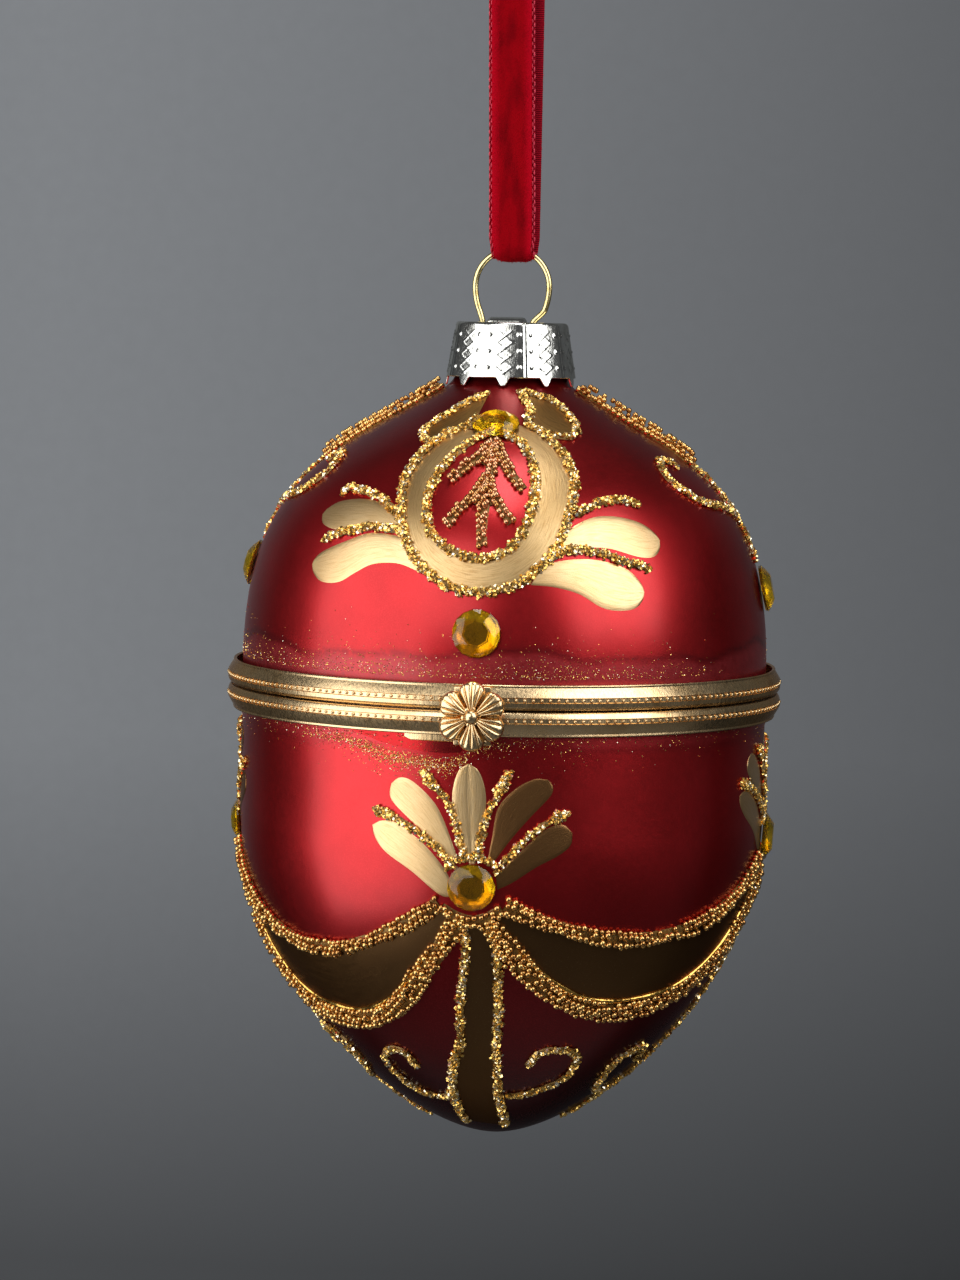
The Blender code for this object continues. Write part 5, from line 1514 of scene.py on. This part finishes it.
def makeMedallion(side):
    m = medallion
    face, tag, body = sides[side], side.title(), "upper_half"

    def placed(points):
        return shifted(points, face)

    def patch(name, top, foot, step, material):
        paintPatch(name + tag, trace(placed(top), step), trace(placed(foot), step), body, material)

    for name, (top, foot) in wings.items():
        patch(f"wing{name}", top, foot, 0.5, goldPaint)
    outer = matched(trace(placed(outerRing + m["topClosing"]), 0.5, True), 160)
    inner = matched(trace(placed(innerRing), 0.4, True), 160)
    paintPatch(f"medallionPaint{tag}", outer, inner, body, ringPaint)
    for name, (top, foot) in leaves.items():
        patch(f"leafPaint{name}", top, foot, 0.4, dimPaint)
    edges = [(placed(outerRing), *m["rim"])]
    edges += [(placed(line), *m["wingLine"]) for line in wingLines]
    glitterLines(f"rimGlitter{tag}", edges, body, (f"medallion_rim_{side}",))
    ring = [(placed(innerRing), *m["ring"])]
    glitterLines(f"ringGlitter{tag}", ring, body, (f"medallion_ring_{side}",), True)
    for name, (top, foot) in leaves.items():
        edge = [(placed(top) + placed(foot)[::-1][1:], *m["leaf"])]
        glitterLines(f"leafGlitter{name}{tag}", edge, body, (f"leaf_{side}_{name.lower()}",))
    ropes = [(placed(line), *m["sprig"]) for line in sprig]
    ropes += [(placed(line), *m["sprigFill"]) for line in sprigFill]
    beadRopes(f"sprig{tag}", ropes, body, roseBeads, (f"sprig_{side}",))


for side in ("front", "back"):
    makeMedallion(side)
print("medallions made")


# Beaded strips, curls and lines at the egg's two sides

sideCurl = [
    (-20, 30.7), (-22.4, 31.6), (-26.8, 31.9), (-31.1, 30.5), (-31.1, 29), (-28.4, 27.8), (-24.7, 26.7),
    (-18.4, 26), (-9, 25.4), (-2, 24.2),
]
sideLine = {
    "right": [(0, 31.5), (0.6, 28.5), (-0.5, 25), (0.3, 21), (0, 17.9)],
    "left": [(0, 31.5), (0.6, 28.5), (-0.5, 25), (0.3, 22), (0, 19.5)],
}


sideTrim = {
    "top": 40.8, "foot": 31.2, "waver": 1.5, "strip": (3.4, 3), "edge": (1.9, 2), "edgeShift": 3.5,
    "curl": (1.15, 0.5), "line": (1.2, 0.5),
}


def makeSide(side):
    t = sideTrim
    face, tag = sides[side], side.title()
    strip = [(face + math.sin(z) * t["waver"], z) for z in np.linspace(t["top"], t["foot"], 6)]
    ropes = [(strip, *t["strip"])]
    for shift in (-t["edgeShift"], t["edgeShift"]):
        ropes.append(([(a + shift, z) for a, z in strip[2:]], *t["edge"]))
    beadRopes(f"sideBeads{tag}", ropes, "upper_half", goldBeads, (f"side_strip_{side}",))
    routes = [(shifted(sideCurl, face, mirror), *t["curl"]) for mirror in (False, True)]
    routes.append((shifted(sideLine[side], face), *t["line"]))
    glitterLines(f"sideGlitter{tag}", routes, "upper_half", (f"side_line_{side}",))


for side in ("right", "left"):
    makeSide(side)
print("sides made")


# Fans over the lower stones

fanPetals = {
    "LowLeft": (
        [(-3.5, -23.2), (-6.7, -20), (-10.9, -17.3), (-16.1, -15.2), (-19.8, -15.1), (-21.8, -15.8)],
        [(-3.5, -24.6), (-6.8, -24.6), (-12.9, -21.7), (-18.9, -19.3), (-21.5, -17.2), (-21.8, -15.8)],
    ),
    "HighLeft": (
        [
            (-3, -19.8), (-3.7, -18.1), (-6.5, -13.7), (-9.2, -11.4), (-13.1, -9.5), (-15.9, -9.3),
            (-17.6, -10.2),
        ],
        [
            (-4, -20.5), (-5.2, -19.5), (-9, -17.3), (-13, -15.1), (-17, -12.9), (-18.1, -11.6),
            (-17.6, -10.2),
        ],
    ),
    "Middle": (
        [(-0.6, -20.1), (-2.2, -17.1), (-4.3, -13.4), (-4.5, -10.6), (-3.2, -8), (-1, -7.1)],
        [(0.8, -20.1), (1.8, -17), (2.9, -13.4), (2.7, -10.4), (1.2, -8), (-1, -7.1)],
    ),
    "HighRight": (
        [(3, -20.4), (4, -16.6), (5, -12.7), (8.4, -10.2), (12.4, -8.9), (15.4, -9)],
        [(4, -20.4), (8.1, -16.9), (12.4, -13.8), (16.2, -11.2), (16.6, -9.9), (15.4, -9)],
    ),
    "LowRight": (
        [(5, -21.4), (8.9, -19), (12.4, -16.8), (15.8, -15.1), (18.8, -14.8), (20.8, -16)],
        [(5.4, -23.6), (8.6, -22.6), (13.4, -20.6), (18.2, -19), (20.6, -17.6), (20.8, -16)],
    ),
}
# The arc lies over the stone.
fanArc = [(-5.7, -21.3), (-4.2, -20.1), (-2.2, -19.4), (0, -19.2), (2.2, -19.4), (4.2, -20.1), (5.7, -21.3)]
fanLines = [
    [(-21.6, -13.7), (-19.5, -14), (-17, -14.5), (-12.9, -15.8), (-7.5, -18.2), (-2.9, -21.1)],
    [(-11.2, -8.4), (-9.6, -9), (-7.7, -10.5), (-4.6, -12.9), (-3, -16.2), (-1.4, -20.1)],
    [(7.9, -7.9), (6.6, -9), (5, -11.1), (2.9, -13.9), (1.8, -17), (1.4, -19.3)],
    [(20.2, -13.3), (18.3, -13.7), (16.2, -14.3), (11.8, -16.4), (8.5, -18.5), (6, -20.4)],
]


fanSize = {"near": 4, "front": 1, "right": 0.84, "back": 1, "left": 0.95}
fanTrim = {"line": (1.05, 0.45), "tip": (1.5, 0.6), "arc": (0.9, 0.45), "crease": 0.05}


def fanPlaced(points, side):
    # Moved to that side's own stone, and shortened where the side leaves it less room.
    placed = []
    for angle, height in points:
        rise = height - stone["lower"]["front"]
        rise = min(rise, fanSize["near"]) + max(rise - fanSize["near"], 0) * fanSize[side]
        placed.append((angle + sides[side], stone["lower"][side] + rise))
    return placed


def makeFan(side):
    tag = side.title()
    for name, (one, other) in fanPetals.items():
        crease = fanTrim["crease"] if name == "Middle" else 0.0
        # Painted shade: the two right-hand petals of each fan take the darker copy of the gold paint.
        shade = paintedShadeGold if name in ("HighRight", "LowRight") else goldPaint
        near, far = (trace(fanPlaced(edge, side), 0.45) for edge in (one, other))
        paintPatch(f"fan{name}{tag}", near, far, "lower_half", shade, crease=crease)
    routes = []
    for line in fanLines:
        routes.append((fanPlaced(line, side), *fanTrim["line"]))
        routes.append((fanPlaced(line[:3], side), *fanTrim["tip"]))
    routes.append((fanPlaced(fanArc, side), *fanTrim["arc"]))
    glitterLines(f"fanGlitter{tag}", routes, "lower_half", (f"fan_{side}",))


for side in sides:
    makeFan(side)
print("fans made")


# Swags round the bowl

swag = {
    "upperStart": 7.2, "lowerStart": 3.8, "top": -25.6, "foot": -28.3, "width": 2.25, "lowerWidth": 3.05,
    "sag": {"right": 6.6, "left": 9.4}, "belly": {"right": 14.2, "left": 16.8}, "rise": 3.3, "fillet": 0.32,
    "gold": (0.95, 0.56, 0.13), "goldDark": (0.6, 0.3, 0.06), "liftFrom": -31.5, "liftOver": 3.9,
    "layers": 2, "knotWidth": 2.1,
    "gather": ((-6.6, -26.3), (-3.4, -27.4), (0, -27.9), (3.4, -27.4), (6.6, -26.3)),
}


filletStops = ((0.3, swag["goldDark"]), (0.5, swag["gold"]))
fillet = grainMaterial("moltenGold", (0.7, 3), filletStops, (0.12, 0.25), 1.0, 0.15, 0.7)


def swagBorders(start, hand):
    borders = []
    rows = (("upperStart", "top", "sag", 2.0), ("lowerStart", "foot", "belly", 2.6))
    for key, level, depth, power in rows:
        t = np.linspace(0, 1, 25)
        angle = start + swag[key] + (90 - 2 * swag[key]) * t
        sideEnd = 1 - start // 90 % 2  # which end is at the egg's side
        height = swag[level] + swag["rise"] * (1 - abs(sideEnd - t))
        height = height - swag[depth][hand] * (1 - abs(2 * t - 1) ** power)
        borders.append(list(zip(angle.tolist(), height.tolist())))
    return borders


for name, start in (("front_right", 0), ("back_right", 90), ("back_left", 180), ("front_left", 270)):
    near, far = name.split("_")
    tag = near.title() + far.title()
    upperBorder, lowerBorder = swagBorders(start, far)
    upperTrace, lowerTrace = trace(upperBorder, 0.9), trace(lowerBorder, 0.9)
    # The swag paint is the dark painted-shade copy of the gold paint.
    paintPatch(f"swagPaint{tag}", upperTrace, lowerTrace, "lower_half", shadedSwagPaint, 18, follow="beads")
    ropes = [(upperBorder, swag["width"], swag["layers"]), (lowerBorder, swag["lowerWidth"], swag["layers"])]
    beadRopes(f"swagBeads{tag}", ropes, "lower_half", goldBeads, (f"swag_{name}",))
    seam = trace(lowerBorder[2:-2], 0.8)
    spots, _ = onGlass(seam[:, 0], seam[:, 1] + swag["lowerWidth"] / 2 + 0.25, 0.12)
    ripple = swag["fillet"] * (1 + 0.25 * np.sin(np.arange(len(seam)) * 0.7))
    settle(tube(f"swagFillet{tag}", spots, ripple, fillet, 10), "lower_half", "beads")
for side, face in sides.items():
    rise = swag["rise"] if side in ("right", "left") else 0
    gather = [(a + face, z + rise) for a, z in swag["gather"]]
    knotRope = [(gather, swag["knotWidth"], swag["layers"])]
    beadRopes(f"swagKnot{side.title()}", knotRope, "lower_half", goldBeads)
print("swags made")


# Stripes and curls down to the tip

stripeLeft = [
    (-3.2, -27.6), (-1.4, -29.9), (-2, -33.7), (-3.1, -38.1), (-4.2, -42.7), (-5.4, -46.3), (-9.4, -49.5),
    (-12.5, -53.4), (-15, -56.9), (-16.5, -59.2),
]
stripeRight = [
    (3.6, -27.6), (4.6, -29.8), (5.5, -32.4), (6.1, -36.5), (6.3, -40.8), (6, -43.7), (6.1, -48.2),
    (7, -53), (9.5, -56.5), (15, -59.8),
]
curlLeft = [
    (-12.6, -53.6), (-18, -54.7), (-24.2, -54.8), (-32.6, -53.9), (-36.6, -52), (-37.4, -50),
    (-34.9, -48.5), (-29, -47.5), (-25.2, -48.2), (-23.6, -50),
]
curlRight = [
    (10.5, -54), (16, -54), (22.8, -53.4), (32.4, -51.6), (34.4, -49), (31.5, -47.2), (26.5, -46.6),
    (19.8, -46.9), (16.3, -49.2),
]

stripe = {"edge": (1.2, 0.45), "curl": (1.1, 0.45)}

for side, face in sides.items():
    tag = side.title()
    rise = swag["rise"] if side in ("right", "left") else 0
    edges = []
    for line in (stripeLeft, stripeRight):
        lifts = [rise * max(0, (z - swag["liftFrom"]) / swag["liftOver"]) for _, z in line]
        edges.append([(a + face, z + lift) for (a, z), lift in zip(line, lifts)])
    # The stripe paint is the same dark painted-shade copy.
    paintPatch(f"stripePaint{tag}", trace(edges[0], 0.6), trace(edges[1], 0.6), "lower_half", shadedSwagPaint, 10)
    routes = [(line, *stripe["edge"]) for line in edges]
    routes += [(shifted(line, face), *stripe["curl"]) for line in (curlLeft, curlRight)]
    glitterLines(f"stripeGlitter{tag}", routes, "lower_half", (f"stripe_{side}",))
print("stripes made")


# Floor, backdrop and light

studio = {
    "floor": -1300,
    "wall": 480,
    "bend": 220,
    "pale": (0.66, 0.66, 0.67),
    "grey": (0.3, 0.314, 0.333),
    "fill": 0.065,
    "dusk": 0.36,
    "side": 0.52,
    "lamps": (  # name, turn to the right, height angle, distance, size, watts
        ("leftBox", -55, 4, 540, (560, 880), 3.5), ("frontBox", -17, 27, 560, (220, 400), 0.6),
        ("rightBox", 56, 33, 560, (440, 560), 2.3), ("topBox", 0, 85, 620, (150, 420), 1.2),
    ),
}


def makeStudio():
    s = studio
    material, tree, shader = newMaterial("palePaper")
    spot = place(tree)
    parts = addNode(tree, "ShaderNodeSeparateXYZ", {"Vector": spot})
    height, across = parts.outputs["Z"], parts.outputs["X"]
    # Painted shade: the backdrop darkens towards its foot and towards the right, a light falloff painted into
    # its colour.
    dusk = span(tree, height, -200, -60, s["dusk"], 1)
    shade = calc(tree, "MULTIPLY", dusk, span(tree, across, -170, 75, 1, s["side"]))
    grey = mixColor(tree, shade, (0.0, 0.0, 0.0), s["grey"])
    wallFoot = s["floor"] + s["bend"]
    color = mixColor(tree, span(tree, height, wallFoot, wallFoot + 60), s["pale"], grey)
    tooth = noise(tree, spot, 0.25, 4)
    color = mixColor(tree, span(tree, tooth, 0.3, 0.7, 0, 0.05), color, (0.1, 0.1, 0.1))
    plug(tree, shader, color=color, rough=0.9)
    setFixed(shader, {"Specular IOR Level": 0.1})
    # The paper is clear from behind, so the back can be looked at.
    clear = addNode(tree, "ShaderNodeBsdfTransparent", {})
    mix = addNode(tree, "ShaderNodeMixShader", {})
    tree.links.new(addNode(tree, "ShaderNodeNewGeometry", {}).outputs["Backfacing"], mix.inputs[0])
    tree.links.new(shader.outputs[0], mix.inputs[1])
    tree.links.new(clear.outputs[0], mix.inputs[2])
    tree.links.new(mix.outputs[0], tree.nodes["Material Output"].inputs["Surface"])
    bendStart = s["wall"] - s["bend"]
    profile = [(-1400, 0)] + [(y, 0) for y in np.linspace(-900, bendStart, 12)]
    for turn in np.radians(np.linspace(0, 90, 17)[1:]):
        profile.append((bendStart + s["bend"] * math.sin(turn), s["bend"] * (1 - math.cos(turn))))
    profile.append((s["wall"], 1800))
    rows = [[(x, y, s["floor"] + z) for x in np.linspace(-1500, 1500, 9)] for y, z in profile]
    floor = makeMesh("paperSweep", rows, gridFaces(len(rows), 9), material)
    for name, azimuth, elevation, distance, size, watts in s["lamps"]:
        lamp = bpy.data.lights.new(name, "AREA")
        lamp.shape = "RECTANGLE"
        lamp.size, lamp.size_y = (d * mm for d in size)
        lamp.energy = watts
        obj = bpy.data.objects.new(name, lamp)
        a, e = math.radians(azimuth), math.radians(elevation)
        aim = Vector((math.sin(a) * math.cos(e), -math.cos(a) * math.cos(e), math.sin(e)))  # toward the lamp
        obj.location = eggCentre + aim * distance * mm
        obj.rotation_mode = "QUATERNION"
        obj.rotation_quaternion = aim.to_track_quat("Z", "Y")
        scene.collection.objects.link(obj)
    world = bpy.data.worlds.new("studio")
    world.use_nodes = True
    scene.world = world
    tree = world.node_tree
    background = tree.nodes["Background"]
    background.inputs["Strength"].default_value = s["fill"]
    background.inputs["Color"].default_value = (0.97, 0.98, 1, 1)
    scene.view_settings.view_transform = "Standard"


makeStudio()
print("studio made")
